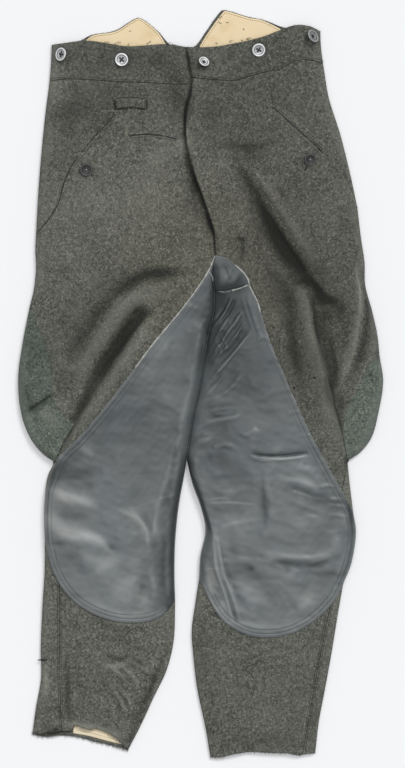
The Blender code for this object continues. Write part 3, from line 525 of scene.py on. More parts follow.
@dataclass(frozen=True)
class Relief:
    """Top of one layer of one half of the laid-out front, above the floor.

    It is a rim at every edge, a rounded shoulder, a soft dome and the creases, as in the
    solids, and then the finer creases and unevenness that the solids leave out.
    """

    side: Side
    layer: Layer
    rim: float = WOOL + GAP + WOOL
    edge_round: float = 11.0
    crease_round_right: float = 10.0
    crease_round_left: float = 30.0
    dome_reach: float = 60.0
    least_rise: float = 0.8
    fold_fade: float = 14.0
    crease_fade: float = 5.0
    lap_lift: float = BAND + GAP
    lap_flat: float = 36.0
    lap_fade: float = 62.0
    pocket_flat: float = 3.0
    pocket_fade: float = 26.0
    legs_join: tuple[float, float] = (118.0, 172.0)
    legs_part: tuple[float, float] = (-140.0, -70.0)

    # Distance from the waist down: y, body, loft
    BODY = np.array(places_of("""
        524,3.2,0 420,4,1 327,5.5,3 173,8,6 47,10.5,9 -107,10,9 -247,8.5,8 -359,4.5,4 -524,3,0.5
    """))
    OUTER_RIGHT = (
        "-hem_strip_right -calf_side_right -knee_side_right -thigh_side_right -flare_right "
        "-side_right -hip_side_right -band_side_right"
    )
    OUTER_LEFT = (
        "band_side_left hip_side_left side_left flare_left thigh_side_left knee_side_left "
        "calf_side_left"
    )
    LINE_STEP = 7.0

    def away_from(self, names: str, points: Array, first: int = 0) -> Array:
        """Distance of the points from named curves, from the first of their points on."""
        return measure_line(chain(names, self.LINE_STEP)[first:], points)[0]

    def height(self, points: Array) -> Array:
        """Height of the layer's top over the floor.

        Args:
            points: Places in plan, one row each.

        Returns:
            The height at each place.
        """
        points = np.asarray(points, float)[:, :2]
        y = points[:, 1]
        name = self.side.value
        body, loft = (np.interp(-y, -self.BODY[:, 0], self.BODY[:, k]) for k in (1, 2))
        # The hem strip's own end is no part of the silhouette
        outer = np.minimum(
            self.away_from(self.OUTER_RIGHT, points, 5), self.away_from(self.OUTER_LEFT, points)
        )
        inner = self.away_from(
            f"inner_calf_{name} inner_knee_{name} crease_low crease_top", points
        )
        two_legs = fade(y, *self.legs_join)
        radius = self.crease_round_right
        if self.side is Side.LEFT:
            apart = fade(y, *self.legs_part)
            radius = self.crease_round_left + (radius - self.crease_round_left) * apart
        rounding = quarter_round(outer, self.edge_round)
        rounding *= 1.0 - two_legs + two_legs * quarter_round(inner, radius)
        dome = 1.0 - bell(outer, self.dome_reach)
        dome *= 1.0 - two_legs * bell(inner, self.dome_reach)
        held = np.minimum(outer, inner * two_legs + self.fold_fade * (1.0 - two_legs))
        folds = sum(crease.at(points) for crease in FOLDS[self.side])
        rise = body + loft * dome + folds * (1.0 - fade(held, 0.0, self.fold_fade))
        rise = rise + self.fine(points, outer)
        height = self.rim + rounding * np.maximum(rise, self.least_rise)
        return height + self.layer_shift(points, outer)

    def fine(self, points: Array, outer: Array) -> Array:
        """The finer creases and the unevenness that every layer shares.

        Args:
            points: Places in plan, one row each.
            outer: Their distances from the silhouette.

        Returns:
            What they add to the height.
        """
        free = 1.0 - fade(outer, 0.0, self.crease_fade)
        creases = sum(crease.at(points) for crease in CREASES[self.side])
        creases = creases + sum(zone.at(points) for zone in GATHERS[self.side])
        uneven = 0.65 * ripple(points, 11, 26.0, 90.0) + 0.22 * ripple(points, 12, 9.0, 24.0)
        return free * (creases + uneven)

    def layer_shift(self, points: Array, outer: Array) -> Array:
        """How far this layer lies over or under the plain front.

        Args:
            points: Places in plan, one row each.
            outer: Their distances from the silhouette.

        Returns:
            The shift at each place.
        """
        shift = np.zeros(len(points))
        if self.side is Side.LEFT:
            away = self.away_from("fly_band fly_edge", points)
            shift += self.lap_lift * fade(away, self.lap_flat, self.lap_fade)
        if self.layer is Layer.BAND:
            shift += BAND - WOOL
        if self.layer is Layer.LEATHER:
            supple = 0.32 * ripple(points, 21, 26.0, 80.0) + 0.05 * ripple(points, 22, 7.0, 16.0)
            shift += LEATHER + LEATHER_GAP + supple.clip(-0.6, 0.8)
        if self.layer is Layer.HIP:
            away, way, _ = measure_line(curve(f"slash_{self.side.value}", self.LINE_STEP), points)
            under = way < 0.0 if self.side is Side.RIGHT else way > 0.0
            drop = (WOOL + GAP) * fade(np.where(under, away, 0.0), self.pocket_flat, self.pocket_fade)
            shift -= drop * quarter_round(outer, self.edge_round)
        return shift


@dataclass(frozen=True)
class FlatRelief:
    """Top of a piece of the back layer, level but for a faint unevenness."""

    level: float
    uneven: float = 0.0
    seed: int = 5

    def height(self, points: Array) -> Array:
        """Height of the piece's top over the floor."""
        return self.level + self.uneven * ripple(points, self.seed, 16.0, 60.0)


FRONT = {side: Relief(side, Layer.FRONT) for side in Side}
OVER = {side: Relief(side, Layer.LEATHER) for side in Side}
ON_BAND = {side: Relief(side, Layer.BAND) for side in Side}
LINING = WOOL + GAP + COTTON
LININGS = {side: FlatRelief(LINING) for side in Side}


@dataclass(frozen=True)
class Density:
    """Spacing of a grid: fine along its border, wider inside."""

    inside: float = 2.6
    border: float = 1.0
    band: float = 12.0

    def places(self, total: float) -> Array:
        """Rising shares of a length, from 0 to 1, at which the grid has its lines.

        Args:
            total: The length.

        Returns:
            The shares.
        """
        fine = np.linspace(0.0, total, 2000)
        reach = np.clip(np.minimum(fine, total - fine) / self.band, 0.0, 1.0)
        spacing = self.border + (self.inside - self.border) * reach
        steps = 0.5 * (1.0 / spacing[1:] + 1.0 / spacing[:-1]) * np.diff(fine)
        counted = np.concatenate([[0.0], np.cumsum(steps)])
        count = max(2, math.ceil(counted[-1]))
        return np.interp(np.linspace(0.0, counted[-1], count + 1), counted, fine) / total


@dataclass(frozen=True)
class Cut:
    """A pattern piece's outline as sides that run down and edges that run to +X.

    A piece with no top or bottom edge comes to a blunt point there.
    """

    left: str
    right: str
    top: str = ""
    bottom: str = ""

    TIP = 0.9

    @staticmethod
    def at_drop(line: Array, share: Array) -> Array:
        """Points of a line that runs down, at shares of its drop in y."""
        drop = np.maximum.accumulate((line[0, 1] - line[:, 1]) / (line[0, 1] - line[-1, 1]))
        return walked(line, drop, share)

    def plan(self, density: Density) -> Array:
        """The piece as a grid of places: rows down, columns towards +X.

        A row runs straight from the left side to the right side at the same share of their
        drop. A curved top or bottom edge bends the rows by its distance from its own chord,
        in full at that edge and not at all at the other one.

        Args:
            density: Spacing of the grid.

        Returns:
            Places with shape (rows, columns, 2).
        """
        left, right = chain(self.left), chain(self.right)
        share = np.linspace(0.0, 1.0, 4000)
        lead, trail = self.at_drop(left, share), self.at_drop(right, share)
        wide = np.hypot(*(trail - lead).T)
        kept = np.flatnonzero(wide > self.TIP)
        kept = slice(kept[0], kept[-1] + 1)
        share, lead, trail = share[kept], lead[kept], trail[kept]
        pace = np.maximum(*(np.hypot(*np.diff(line, axis=0).T) for line in (lead, trail)))
        along = np.concatenate([[0.0], np.cumsum(pace)])
        rows = np.interp(density.places(along[-1]) * along[-1], along, share)
        columns = density.places(float(wide.max()))
        across = columns[None, :, None]
        grid = self.at_drop(left, rows)[:, None, :] * (1.0 - across)
        grid = grid + self.at_drop(right, rows)[:, None, :] * across
        for names, weight in ((self.top, 1.0 - rows), (self.bottom, rows)):
            if names:
                edge = chain(names)
                along = run_of(edge)
                bent = walked(edge, along, columns * along[-1])
                chord = edge[0] * (1.0 - columns[:, None]) + edge[-1] * columns[:, None]
                grid = grid + weight[:, None, None] * (bent - chord)[None, :, :]
        return grid


# Cuts by node: left side / right side / top edge / bottom edge
CUTS = {node: Cut(*parts) for node, parts in parts_of("""
    back_right: hip_side_right side_right flare_right thigh_side_right knee_side_right
        calf_side_right / seat_seam leather_back_right -inner_calf_right / back_seam_right
        / hem_back_right;
    back_left: seat_seam leather_back_left -inner_calf_left / hip_side_left side_left flare_left
        thigh_side_left knee_side_left calf_side_left / back_seam_left
        / -hem_front_left -hem_strip_left;
    leather_back_right: leather_back_right / -crease_top -crease_low -inner_knee_right;
    leather_back_left: -crease_top -crease_low -inner_knee_left / leather_back_left;
    hem_lining_right: strip_end / strip_end_inner / strip_top / strip_low;
    waistband_right: band_side_right / band_lap_end / band_top_right band_top_lap
        / band_seam_hip_right band_seam_right band_seam_lap;
    waistband_left: fly_band / band_side_left / band_top_left
        / band_seam_left band_seam_hip_left;
    back_peak_right: band_side_right / notch_seam / peak_right / back_seam_right;
    back_peak_left: notch_seam / band_side_left / peak_left / back_seam_left;
    peak_lining_right: lining_end_right / lining_fly_right / lining_top_right / lining_low_right;
    peak_lining_left: lining_fly_left / lining_end_left / lining_top_left / lining_low_left;
    front_right: slash_up_right slash_right slash_end_right side_right gusset_seam_right
        fold_end_right calf_seam_right
        / fly_lap -crease_top -crease_low -inner_knee_right -inner_calf_right
        / band_seam_right front_seam_lap / hem_front_right;
    front_left: fly_edge -crease_top -crease_low -inner_knee_left -inner_calf_left
        / slash_up_left slash_left slash_end_left side_left gusset_seam_left fold_end_left
        calf_seam_left / band_seam_left / -hem_front_left;
    hip_right: hip_side_right / slash_up_right slash_lap_right / band_seam_hip_right
        / -slash_end_right;
    hip_left: slash_up_left slash_lap_left / hip_side_left / band_seam_hip_left / slash_end_left;
    gusset_right: flare_right / gusset_seam_right fold_end_right;
    gusset_left: gusset_seam_left fold_end_left / flare_left;
    calf_side_right: thigh_side_right knee_side_right calf_side_right / calf_seam_right
        / / hem_strip_right;
    calf_side_left: calf_seam_left / thigh_side_left knee_side_left calf_side_left
        / / -hem_strip_left;
    leather_right: leather_edge_right knee_side_right leather_foot_right<
        / -crease_top -crease_low -inner_knee_right leather_foot_right>;
    leather_left: -crease_low -inner_knee_left leather_foot_left>
        / leather_edge_left knee_side_left leather_foot_left< / -crotch_joint;
    leather_crotch: -crease_top / crotch_top / / -crotch_joint
""").items()}

# What each piece lies on, where that is not the floor
RESTS_ON = {node: on.split() for node, (on,) in parts_of("""
    waistband_right: back_peak_right; waistband_left: waistband_right back_peak_left;
    hip_right: back_right; hip_left: back_left; front_right: back_right hip_right;
    front_left: back_left hip_left front_right; gusset_right: back_right;
    gusset_left: back_left; calf_side_right: back_right; calf_side_left: back_left;
    leather_right: front_right; leather_left: front_left; leather_crotch: front_left;
    peak_lining_right: back_peak_right; peak_lining_left: back_peak_left;
    hem_lining_right: back_right
""").items()}


def joined(shapes: list[Shape]) -> Shape:
    """Several shapes as one."""
    starts = np.cumsum([0] + [len(points) for points, _ in shapes])
    faces = [part + start for (_, parts), start in zip(shapes, starts) for part in parts]
    return np.vstack([points for points, _ in shapes]), faces


def quads_of(index: Array) -> Array:
    """Quads of a grid of point numbers, facing up where rows run down and columns to +X."""
    corners = index[:-1, :-1], index[1:, :-1], index[1:, 1:], index[:-1, 1:]
    return np.stack(corners, axis=-1).reshape(-1, 4)


def border_of(index: Array) -> Array:
    """Point numbers round a grid, counterclockwise seen from above."""
    return np.concatenate([index[:-1, 0], index[-1, :-1], index[:0:-1, -1], index[0, :0:-1]])


def shell(top: Array, wall: float, clear: float | Array) -> Shape:
    """A closed sheet under a grid of points, with a rounded rim.

    The underside repeats the top, lower by the wall. The rim stands a little inside the
    outline, and the border of both faces is drawn in as far again.

    Args:
        top: Grid of points with shape (rows, columns, 3).
        wall: Thickness of the sheet.
        clear: How far the rim stays inside the outline, for the whole grid or each point.

    Returns:
        The points and the faces.
    """
    rows, columns, _ = top.shape
    count = rows * columns
    index = np.arange(count).reshape(rows, columns)
    border = border_of(index)
    flat = top.reshape(-1, 3)
    loop = flat[border, :2]
    inward = left_of(np.roll(loop, -1, axis=0) - np.roll(loop, 1, axis=0))
    room = 0.28 * np.hypot(*(top[:, -1, :2] - top[:, 0, :2]).T)
    room = np.repeat(room, columns)[border]
    clear = np.broadcast_to(clear, count)[border]
    upper = flat.copy()
    upper[border, :2] += inward * np.minimum(2.0 * clear, room)[:, None]
    lower = upper - (0.0, 0.0, wall)
    lower[:, 2] = np.maximum(lower[:, 2], 0.0)
    ring = flat[border].copy()
    ring[:, :2] += inward * np.minimum(clear, room)[:, None]
    ring[:, 2] = 0.5 * (upper[border, 2] + lower[border, 2])
    middle = 2 * count + np.arange(len(border))
    following, next_border = np.roll(middle, -1), np.roll(border, -1)
    faces = [
        quads_of(index),
        quads_of(index)[:, ::-1] + count,
        np.column_stack([border, middle, following, next_border]),
        np.column_stack([middle, border + count, next_border + count, following]),
    ]
    return np.vstack([upper, lower, ring]), faces


def tubes(centres: Array, radii: float | Array, sides: int = 4, tall: float = 1.0) -> Shape:
    """Tubes through rows of centres, closed at both ends.

    Each centre carries a ring of points across the tube's own direction.

    Args:
        centres: Centres with shape (tubes, rings, 3).
        radii: Radius of each ring, or of all.
        sides: Points of a ring.
        tall: Height of the ring's section as a share of its width.

    Returns:
        The points, and the quads of the walls with the end faces.
    """
    run = np.gradient(centres, axis=1)
    run /= np.maximum(np.linalg.norm(run, axis=2, keepdims=True), 1e-9)
    left = np.stack([-run[..., 1], run[..., 0], np.zeros(run.shape[:2])], axis=-1)
    left /= np.maximum(np.linalg.norm(left, axis=2, keepdims=True), 1e-9)
    up = np.cross(run, left) * tall
    turn = np.linspace(0.0, 2.0 * np.pi, sides, endpoint=False)[:, None]
    ring = np.sin(turn) * up[:, :, None, :] - np.cos(turn) * left[:, :, None, :]
    radii = np.broadcast_to(radii, centres.shape[:2])[..., None, None]
    points = centres[:, :, None, :] + radii * ring
    index = np.arange(points[..., 0].size).reshape(points.shape[:3])
    turned = np.roll(index, -1, axis=2)
    walls = np.stack([index[:, :-1], turned[:, :-1], turned[:, 1:], index[:, 1:]], axis=-1)
    faces = [walls.reshape(-1, 4)[:, ::-1], index[:, 0], index[:, -1, ::-1]]
    return points.reshape(-1, 3), faces


def make_mesh(name: str, points: Array, faces: list[Array]) -> bpy.types.Mesh:
    """A smooth mesh in metres.

    Args:
        name: Name of the mesh.
        points: Points in millimetres.
        faces: Arrays of faces, each with its own number of corners.

    Returns:
        The mesh.
    """
    mesh = bpy.data.meshes.new(name)
    sizes = np.concatenate([np.full(len(part), part.shape[1]) for part in faces])
    corners = np.concatenate([part.ravel() for part in faces])
    mesh.vertices.add(len(points))
    mesh.vertices.foreach_set("co", (np.asarray(points, np.float32) * MM).ravel())
    mesh.loops.add(len(corners))
    mesh.loops.foreach_set("vertex_index", corners.astype(np.int32))
    mesh.polygons.add(len(sizes))
    starts = np.concatenate([[0], np.cumsum(sizes)[:-1]])
    mesh.polygons.foreach_set("loop_start", starts.astype(np.int32))
    mesh.update(calc_edges=True)
    mesh.validate()
    mesh.shade_smooth()
    return mesh


def smoothed(grid: Array, reach: float) -> Array:
    """A grid of heights blurred by a bell curve, carried on straight beyond its border.

    Args:
        grid: The heights.
        reach: Width of the bell curve in cells.

    Returns:
        The blurred heights.
    """
    half = math.ceil(2.5 * reach)
    kernel = bell(np.arange(-half, half + 1), reach * math.sqrt(2.0))
    kernel /= kernel.sum()
    for axis, cells in enumerate(grid.shape):
        pads = [(half, half) if k == axis else (0, 0) for k in (0, 1)]
        beyond = {"mode": "reflect", "reflect_type": "odd"} if cells > half else {"mode": "edge"}
        wide = np.pad(grid, pads, **beyond)
        shifts = enumerate(kernel)
        grid = sum(weight * wide.take(np.arange(k, k + cells), axis=axis) for k, weight in shifts)
    return grid


def add_piece(
    name: str, mesh: bpy.types.Mesh, finish: Material, node: str = ""
) -> Object:
    """Put a mesh into the scene as a dressed piece that rides on the garment.

    Args:
        name: Name of the piece.
        mesh: Its mesh.
        finish: Its material.
        node: The node that it stands for, if any.

    Returns:
        The object.
    """
    piece = bpy.data.objects.new(name, mesh)
    mesh.materials.append(finish)
    bpy.context.scene.collection.objects.link(piece)
    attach(piece, BODY_NAME)
    if node:
        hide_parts(node)
    LOG.info("%s: %d faces", name, len(mesh.polygons))
    return piece


def add_details(name: str, shapes: list[Shape], finish: Material) -> None:
    """Put several shapes into the scene as one piece that stands for no node."""
    add_piece(name, make_mesh(name, *joined(shapes)), finish)


def store(mesh: bpy.types.Mesh, name: str, values: Array) -> None:
    """Keep one number for each point of a mesh, for the finishes to read."""
    kept = mesh.attributes.new(name, "FLOAT", "POINT")
    kept.data.foreach_set("value", values.astype(np.float32))


class Value:
    """A number that varies over a surface, with Python's operators as Math nodes."""

    def __init__(self, paint: Paint, socket: Socket) -> None:
        self.paint = paint
        self.socket = socket

    def __add__(self, other: Value | float) -> Value:
        """The sum."""
        return self.paint.math("ADD", self, other)

    def __sub__(self, other: Value | float) -> Value:
        """The difference."""
        return self.paint.math("SUBTRACT", self, other)

    def __rsub__(self, other: float) -> Value:
        """The difference."""
        return self.paint.math("SUBTRACT", other, self)

    def __mul__(self, other: Value | float) -> Value:
        """The product."""
        return self.paint.math("MULTIPLY", self, other)

    def __truediv__(self, other: Value | float) -> Value:
        """The quotient."""
        return self.paint.math("DIVIDE", self, other)

    __radd__ = __add__
    __rmul__ = __mul__


class Paint:
    """Builds one material around a Principled BSDF."""

    def __init__(self, name: str) -> None:
        self.material = bpy.data.materials.new(name)
        self.material.use_nodes = True
        self.tree = self.material.node_tree
        self.shader = self.tree.nodes["Principled BSDF"]
        self.place = self.add("ShaderNodeTexCoord").outputs["Object"]

    def add(self, kind: str, inputs: dict | None = None, **settings: str) -> bpy.types.Node:
        """Add a node.

        Args:
            kind: The node's type.
            inputs: Values, Value objects or sockets by input name or number.
            settings: Its properties, set first.

        Returns:
            The node.
        """
        node = self.tree.nodes.new(kind)
        for key, setting in settings.items():
            setattr(node, key, setting)
        for key, given in (inputs or {}).items():
            self.feed(node.inputs[key], given)
        return node

    def feed(self, target: Socket, given: object) -> None:
        """Link a Value or a socket to an input, or set a plain value on it.

        Args:
            target: The input.
            given: What it gets.
        """
        source = given.socket if isinstance(given, Value) else given
        if isinstance(source, Socket):
            self.tree.links.new(source, target)
        else:
            target.default_value = source

    def math(self, operation: str, first: Value | float, second: Value | float) -> Value:
        """The result of a Math node."""
        node = self.add("ShaderNodeMath", {0: first, 1: second}, operation=operation)
        return Value(self, node.outputs[0])

    def step(self, value: Value, low: float, high: float) -> Value:
        """Rises smoothly from 0 to 1, also where low is the larger one.

        Args:
            value: What it follows.
            low: Where it is 0.
            high: Where it is 1.

        Returns:
            The share.
        """
        inputs = {"Value": value, "From Min": low, "From Max": high}
        node = self.add("ShaderNodeMapRange", inputs, interpolation_type="SMOOTHSTEP")
        return Value(self, node.outputs["Result"])

    def held(self, value: Value) -> Value:
        """The value itself, held between 0 and 1."""
        return Value(self, self.add("ShaderNodeClamp", {"Value": value}).outputs["Result"])

    def noise(
        self, size: float, detail: float = 2.0,
        stretch: tuple[float, float, float] = (1.0, 1.0, 1.0), seed: float = 0.0,
        rough: float = 0.5,
    ) -> Value:
        """Cloudy noise from 0 to 1.

        Args:
            size: Size of its clouds in millimetres.
            detail: How much finer detail it has.
            stretch: How many times closer it repeats along X, Y and Z.
            seed: Shifts the pattern.
            rough: Strength of each finer detail beside the one before.

        Returns:
            The noise.
        """
        shift = (seed, seed * 0.7, seed * 1.3)
        inputs = {0: self.place, 1: stretch, 2: shift}
        moved = self.add("ShaderNodeVectorMath", inputs, operation="MULTIPLY_ADD").outputs[0]
        scale = 1.0 / (size * MM)
        inputs = {"Vector": moved, "Scale": scale, "Detail": detail, "Roughness": rough}
        return Value(self, self.add("ShaderNodeTexNoise", inputs).outputs["Fac"])

    def cells(self, size: float, output: str = "Distance") -> Socket:
        """A pattern of cells of a size in millimetres: the distance in each, or its colour."""
        inputs = {"Vector": self.place, "Scale": 1.0 / (size * MM)}
        return self.add("ShaderNodeTexVoronoi", inputs).outputs[output]

    def dots(self, size: float) -> Value:
        """Distance from the middle of the nearest cell, in cells of a size in millimetres."""
        return Value(self, self.cells(size))

    def grains(self, size: float) -> Value:
        """A number from 0 to 1, drawn anew for each grain of a size in millimetres."""
        parts = self.add("ShaderNodeSeparateColor", {0: self.cells(size, "Color")})
        return Value(self, parts.outputs[0])

    def attribute(self, name: str) -> Value:
        """A number stored for each point of the mesh."""
        node = self.add("ShaderNodeAttribute", attribute_name=name)
        return Value(self, node.outputs["Fac"])

    def distance_to(self, x: float, y: float) -> Value:
        """Distance from a place of the plan, through all heights.

        Args:
            x: The place, in millimetres.
            y: The same.

        Returns:
            The distance, in millimetres.
        """
        inputs = {0: self.place, 1: (1.0, 1.0, 0.0)}
        level = self.add("ShaderNodeVectorMath", inputs, operation="MULTIPLY").outputs[0]
        inputs = {0: level, 1: (x * MM, y * MM, 0.0)}
        node = self.add("ShaderNodeVectorMath", inputs, operation="DISTANCE")
        return Value(self, node.outputs["Value"]) / MM

    def mix(self, share: Value | float, first: Colour | Socket, second: Colour | Socket) -> Socket:
        """A colour between two colours.

        Args:
            share: How much of the second one.
            first: A colour as red, green and blue, or a socket.
            second: The same.

        Returns:
            The socket of the mixed colour.
        """
        node = self.add("ShaderNodeMix", {0: share}, data_type="RGBA")
        for target, colour in ((node.inputs[6], first), (node.inputs[7], second)):
            self.feed(target, (*colour, 1.0) if isinstance(colour, tuple) else colour)
        return node.outputs[2]

    def bump(
        self, height: Value, depth: float, strength: float = 1.0,
        normal: Socket | None = None,
    ) -> Socket:
        """A normal tilted by a height pattern.

        Args:
            height: The pattern, 0 to 1.
            depth: Height in millimetres of a full step of the pattern.
            strength: How much of the tilt is used.
            normal: A normal to start from.

        Returns:
            The socket of the new normal.
        """
        inputs = {"Height": height, "Distance": depth * MM, "Strength": strength}
        if normal is not None:
            inputs["Normal"] = normal
        return self.add("ShaderNodeBump", inputs).outputs["Normal"]

    def finish(self, **sockets: object) -> Material:
        """Feed the shader and give the material.

        Args:
            sockets: Its inputs, named with underscores for spaces.

        Returns:
            The material.
        """
        for key, given in sockets.items():
            given = (*given, 1.0) if isinstance(given, tuple) and len(given) == 3 else given
            self.feed(self.shader.inputs[key.replace("_", " ")], given)
        return self.material


@dataclass(frozen=True)
class WoolFinish:
    """Milled wool with a short nap: mixed dark and pale fibres and a soft sheen, with painted shade in
    hollows, along edges and under dark strokes, painted highlight on ridges and pale strokes, and moth
    holes painted black as shade.
    """

    name: str
    dark: Colour
    pale: Colour
    warm: Colour
    holes: Places = ()

    # Pale flecks of fibre; the same colour paints the highlight of the pale strokes
    PALE_FLECK_AND_HIGHLIGHT = (0.34, 0.34, 0.29)
    # Colour of the painted shade in hollows, along edges and under the dark strokes
    PAINTED_SHADE = (0.018, 0.019, 0.016)
    PIT = (0.006, 0.006, 0.006)

    def make(self) -> Material:
        """Make the finish.

        Returns:
            The material.
        """
        paint = Paint(self.name)
        heather = paint.noise(4.6, 5.0, (1.15, 0.9, 1.0), rough=0.78)
        fibre = paint.grains(1.7)
        broad = paint.noise(60.0, 3.0, seed=1.9)
        share = 0.52 + (heather - 0.5) * 2.2 + (fibre - 0.5) * 0.72 + (broad - 0.5) * 0.7
        crotch = paint.step(paint.distance_to(20.0, 150.0), 260.0, 40.0)
        tint_and_painted_shading = paint.mix(crotch * 0.85, self.pale, self.warm)
        colour = paint.mix(paint.step(share, -0.35, 1.45), self.dark, tint_and_painted_shading)
        flecks = paint.step(paint.grains(1.9), 0.86, 0.93)
        colour = paint.mix(flecks * 0.42, colour, self.PALE_FLECK_AND_HIGHLIGHT)
        # Painted shade under the dark strokes and painted highlight under the pale ones
        tint_and_painted_shading = paint.attribute("tint_and_painted_shading")
        colour = paint.mix(paint.held(tint_and_painted_shading), colour, self.PAINTED_SHADE)
        colour = paint.mix(paint.held(0.0 - tint_and_painted_shading), colour, self.PALE_FLECK_AND_HIGHLIGHT)
        # Painted shade in hollows and painted highlight on ridges, by how far each point lies below its
        # blurred surroundings
        hollow = paint.attribute("hollow")
        colour = paint.mix(paint.step(hollow, -0.2, 4.8) * 0.7, colour, self.PAINTED_SHADE)
        colour = paint.mix(paint.step(hollow, -0.4, -2.6) * 0.3, colour, self.pale)
        # Painted shade along the edges and seams
        wear_and_edge_shade = paint.step(paint.attribute("edge"), 1.3, 0.0)
        colour = paint.mix(wear_and_edge_shade * 0.3, colour, self.PAINTED_SHADE)
        # Moth holes painted black: painted shade where the mesh has no hole
        for x, y, radius in self.holes:
            pit = paint.step(paint.distance_to(x, y), radius, 0.55 * radius)
            colour = paint.mix(pit, colour, self.PIT)
        return paint.finish(
            Base_Color=colour,
            Roughness=0.92,
            Normal=paint.bump(heather * 0.7 + fibre * 0.3, 0.8, 0.6),
            Sheen_Weight=0.06,
            Sheen_Roughness=0.5,
            Specular_IOR_Level=0.12,
        )


@dataclass(frozen=True)
class LeatherFinish:
    """Dyed grey leather: mottled colour, fine grain and a soft gloss, with painted shade in hollows,
    stitch grooves and dark strokes, and painted highlight on ridges, on the raised lips by the stitches
    and in pale strokes.
    """

    name: str
    cool: Colour = (0.138, 0.157, 0.163)
    warm: Colour = (0.146, 0.155, 0.154)
    pale: Colour = (0.215, 0.230, 0.233)

    # Dark mottle, also the colour of painted shade in hollows, grooves and under dark strokes
    DEEP = (0.030, 0.037, 0.039)
    # Colour of the painted highlight of the pale strokes
    PAINTED_HIGHLIGHT = (0.42, 0.43, 0.42)

    def make(self) -> Material:
        """Make the finish.

        Returns:
            The material.
        """
        paint = Paint(self.name)
        clouds = paint.noise(70.0, 3.0, seed=2.2)
        streaks = paint.noise(30.0, 4.0, (0.8, 1.3, 1.0), 4.4)
        scuff = paint.noise(16.0, 6.0, (0.6, 1.5, 1.0), 6.1, 0.62)
        colour = paint.mix(paint.step(clouds, 0.36, 0.64), self.cool, self.warm)
        colour = paint.mix(paint.step(streaks, 0.45, 0.78) * 0.22, colour, self.pale)
        colour = paint.mix(paint.step(scuff, 0.50, 0.72) * 0.28, colour, self.pale)
        colour = paint.mix(paint.step(scuff, 0.50, 0.30) * 0.16, colour, self.DEEP)
        edge = paint.attribute("edge")
        # Painted highlight on the raised lip between the edge and the stitches
        lip = paint.step(edge, 4.6, 2.2) * paint.step(edge, 0.0, 1.2)
        colour = paint.mix(lip * 0.05, colour, self.pale)
        # Painted shade under the dark strokes and painted highlight under the pale ones
        tint_and_painted_shading = paint.attribute("tint_and_painted_shading")
        colour = paint.mix(paint.held(tint_and_painted_shading), colour, self.DEEP)
        colour = paint.mix(paint.held(0.0 - tint_and_painted_shading), colour, self.PAINTED_HIGHLIGHT)
        # Painted shade in hollows and painted highlight on ridges away from the edge
        hollow = paint.attribute("hollow")
        colour = paint.mix(paint.step(hollow, 0.2, 2.6) * 0.75, colour, self.DEEP)
        raised = paint.step(hollow, -0.3, -1.8) * paint.step(edge, 4.0, 16.0)
        colour = paint.mix(raised * 0.45, colour, self.pale)
        # Painted shade in the stitch grooves
        groove = paint.step(paint.attribute("groove"), 0.1, 0.9)
        colour = paint.mix(groove * 0.28, colour, self.DEEP)
        grain = paint.dots(1.1) * 0.5 + paint.noise(0.7) * 0.5
        wrinkle = paint.noise(9.0, 4.0, (0.6, 1.5, 1.0), 9.0)
        return paint.finish(
            Base_Color=colour,
            Roughness=0.28 + streaks * 0.14 + scuff * 0.14,
            Normal=paint.bump(grain, 0.16, 0.5, paint.bump(wrinkle, 0.45, 0.5)),
            Specular_IOR_Level=0.5,
        )


@dataclass(frozen=True)
class CottonFinish:
    """Undyed cotton twill, a little stained, with small dark specks."""

    name: str
    base: Colour = (0.94, 0.77, 0.505)
    stain: Colour = (0.77, 0.58, 0.33)
    specks: float = 0.5

    SPECK = (0.09, 0.06, 0.03)

    def make(self) -> Material:
        """Make the finish.

        Returns:
            The material.
        """
        paint = Paint(self.name)
        stains = paint.step(paint.noise(22.0, 4.0, seed=3.0), 0.48, 0.78)
        colour = paint.mix(stains * 0.55, self.base, self.stain)
        twill = paint.noise(0.9, 1.0, (2.4, 0.8, 1.0))
        colour = paint.mix(paint.step(twill, 0.35, 0.7) * 0.16, colour, self.stain)
        dots = paint.step(paint.dots(12.0), 0.085, 0.05)
        colour = paint.mix(dots * self.specks, colour, self.SPECK)
        return paint.finish(
            Base_Color=colour, Roughness=0.88, Normal=paint.bump(twill, 0.18, 0.6),
            Specular_IOR_Level=0.2,
        )


@dataclass(frozen=True)
class ButtonFinish:
    """A turned button: a dish mottled by wear, a dark ring round it, a rim, and black painted in its
    holes as shade.
    """

    name: str
    dish: Colour
    ring: Colour
    rim: Colour
    roughness: float
    metallic: float
    middle: float = 0.0

    # Black painted into the pits as the shade of the holes
    HOLE = (0.008, 0.008, 0.008)
    SHINE = (0.6, 0.62, 0.6)

    def make(self) -> Material:
        """Make the finish, laid out by the "edge" attribute: the share of the radius.

        Returns:
            The material.
        """
        paint = Paint(self.name)
        place = paint.attribute("edge")
        wear_and_edge_shade = paint.noise(2.5, 3.0)
        colour = paint.mix(paint.step(wear_and_edge_shade, 0.35, 0.7) * 0.5, self.dish, self.rim)
        colour = paint.mix(paint.step(place, 0.56, 0.66), colour, self.ring)
        colour = paint.mix(paint.step(place, 0.70, 0.80), colour, self.rim)
        # Painted shade: black in the pits that stand for the holes
        colour = paint.mix(paint.attribute("groove"), colour, self.HOLE)
        colour = paint.mix(paint.step(place, 0.97, 0.995), colour, self.ring)
        colour = paint.mix(paint.step(place, 0.12, 0.07) * self.middle, colour, self.SHINE)
        return paint.finish(
            Base_Color=colour, Roughness=self.roughness + wear_and_edge_shade * 0.2, Metallic=self.metallic,
            Normal=paint.bump(wear_and_edge_shade, 0.05, 0.5),
        )


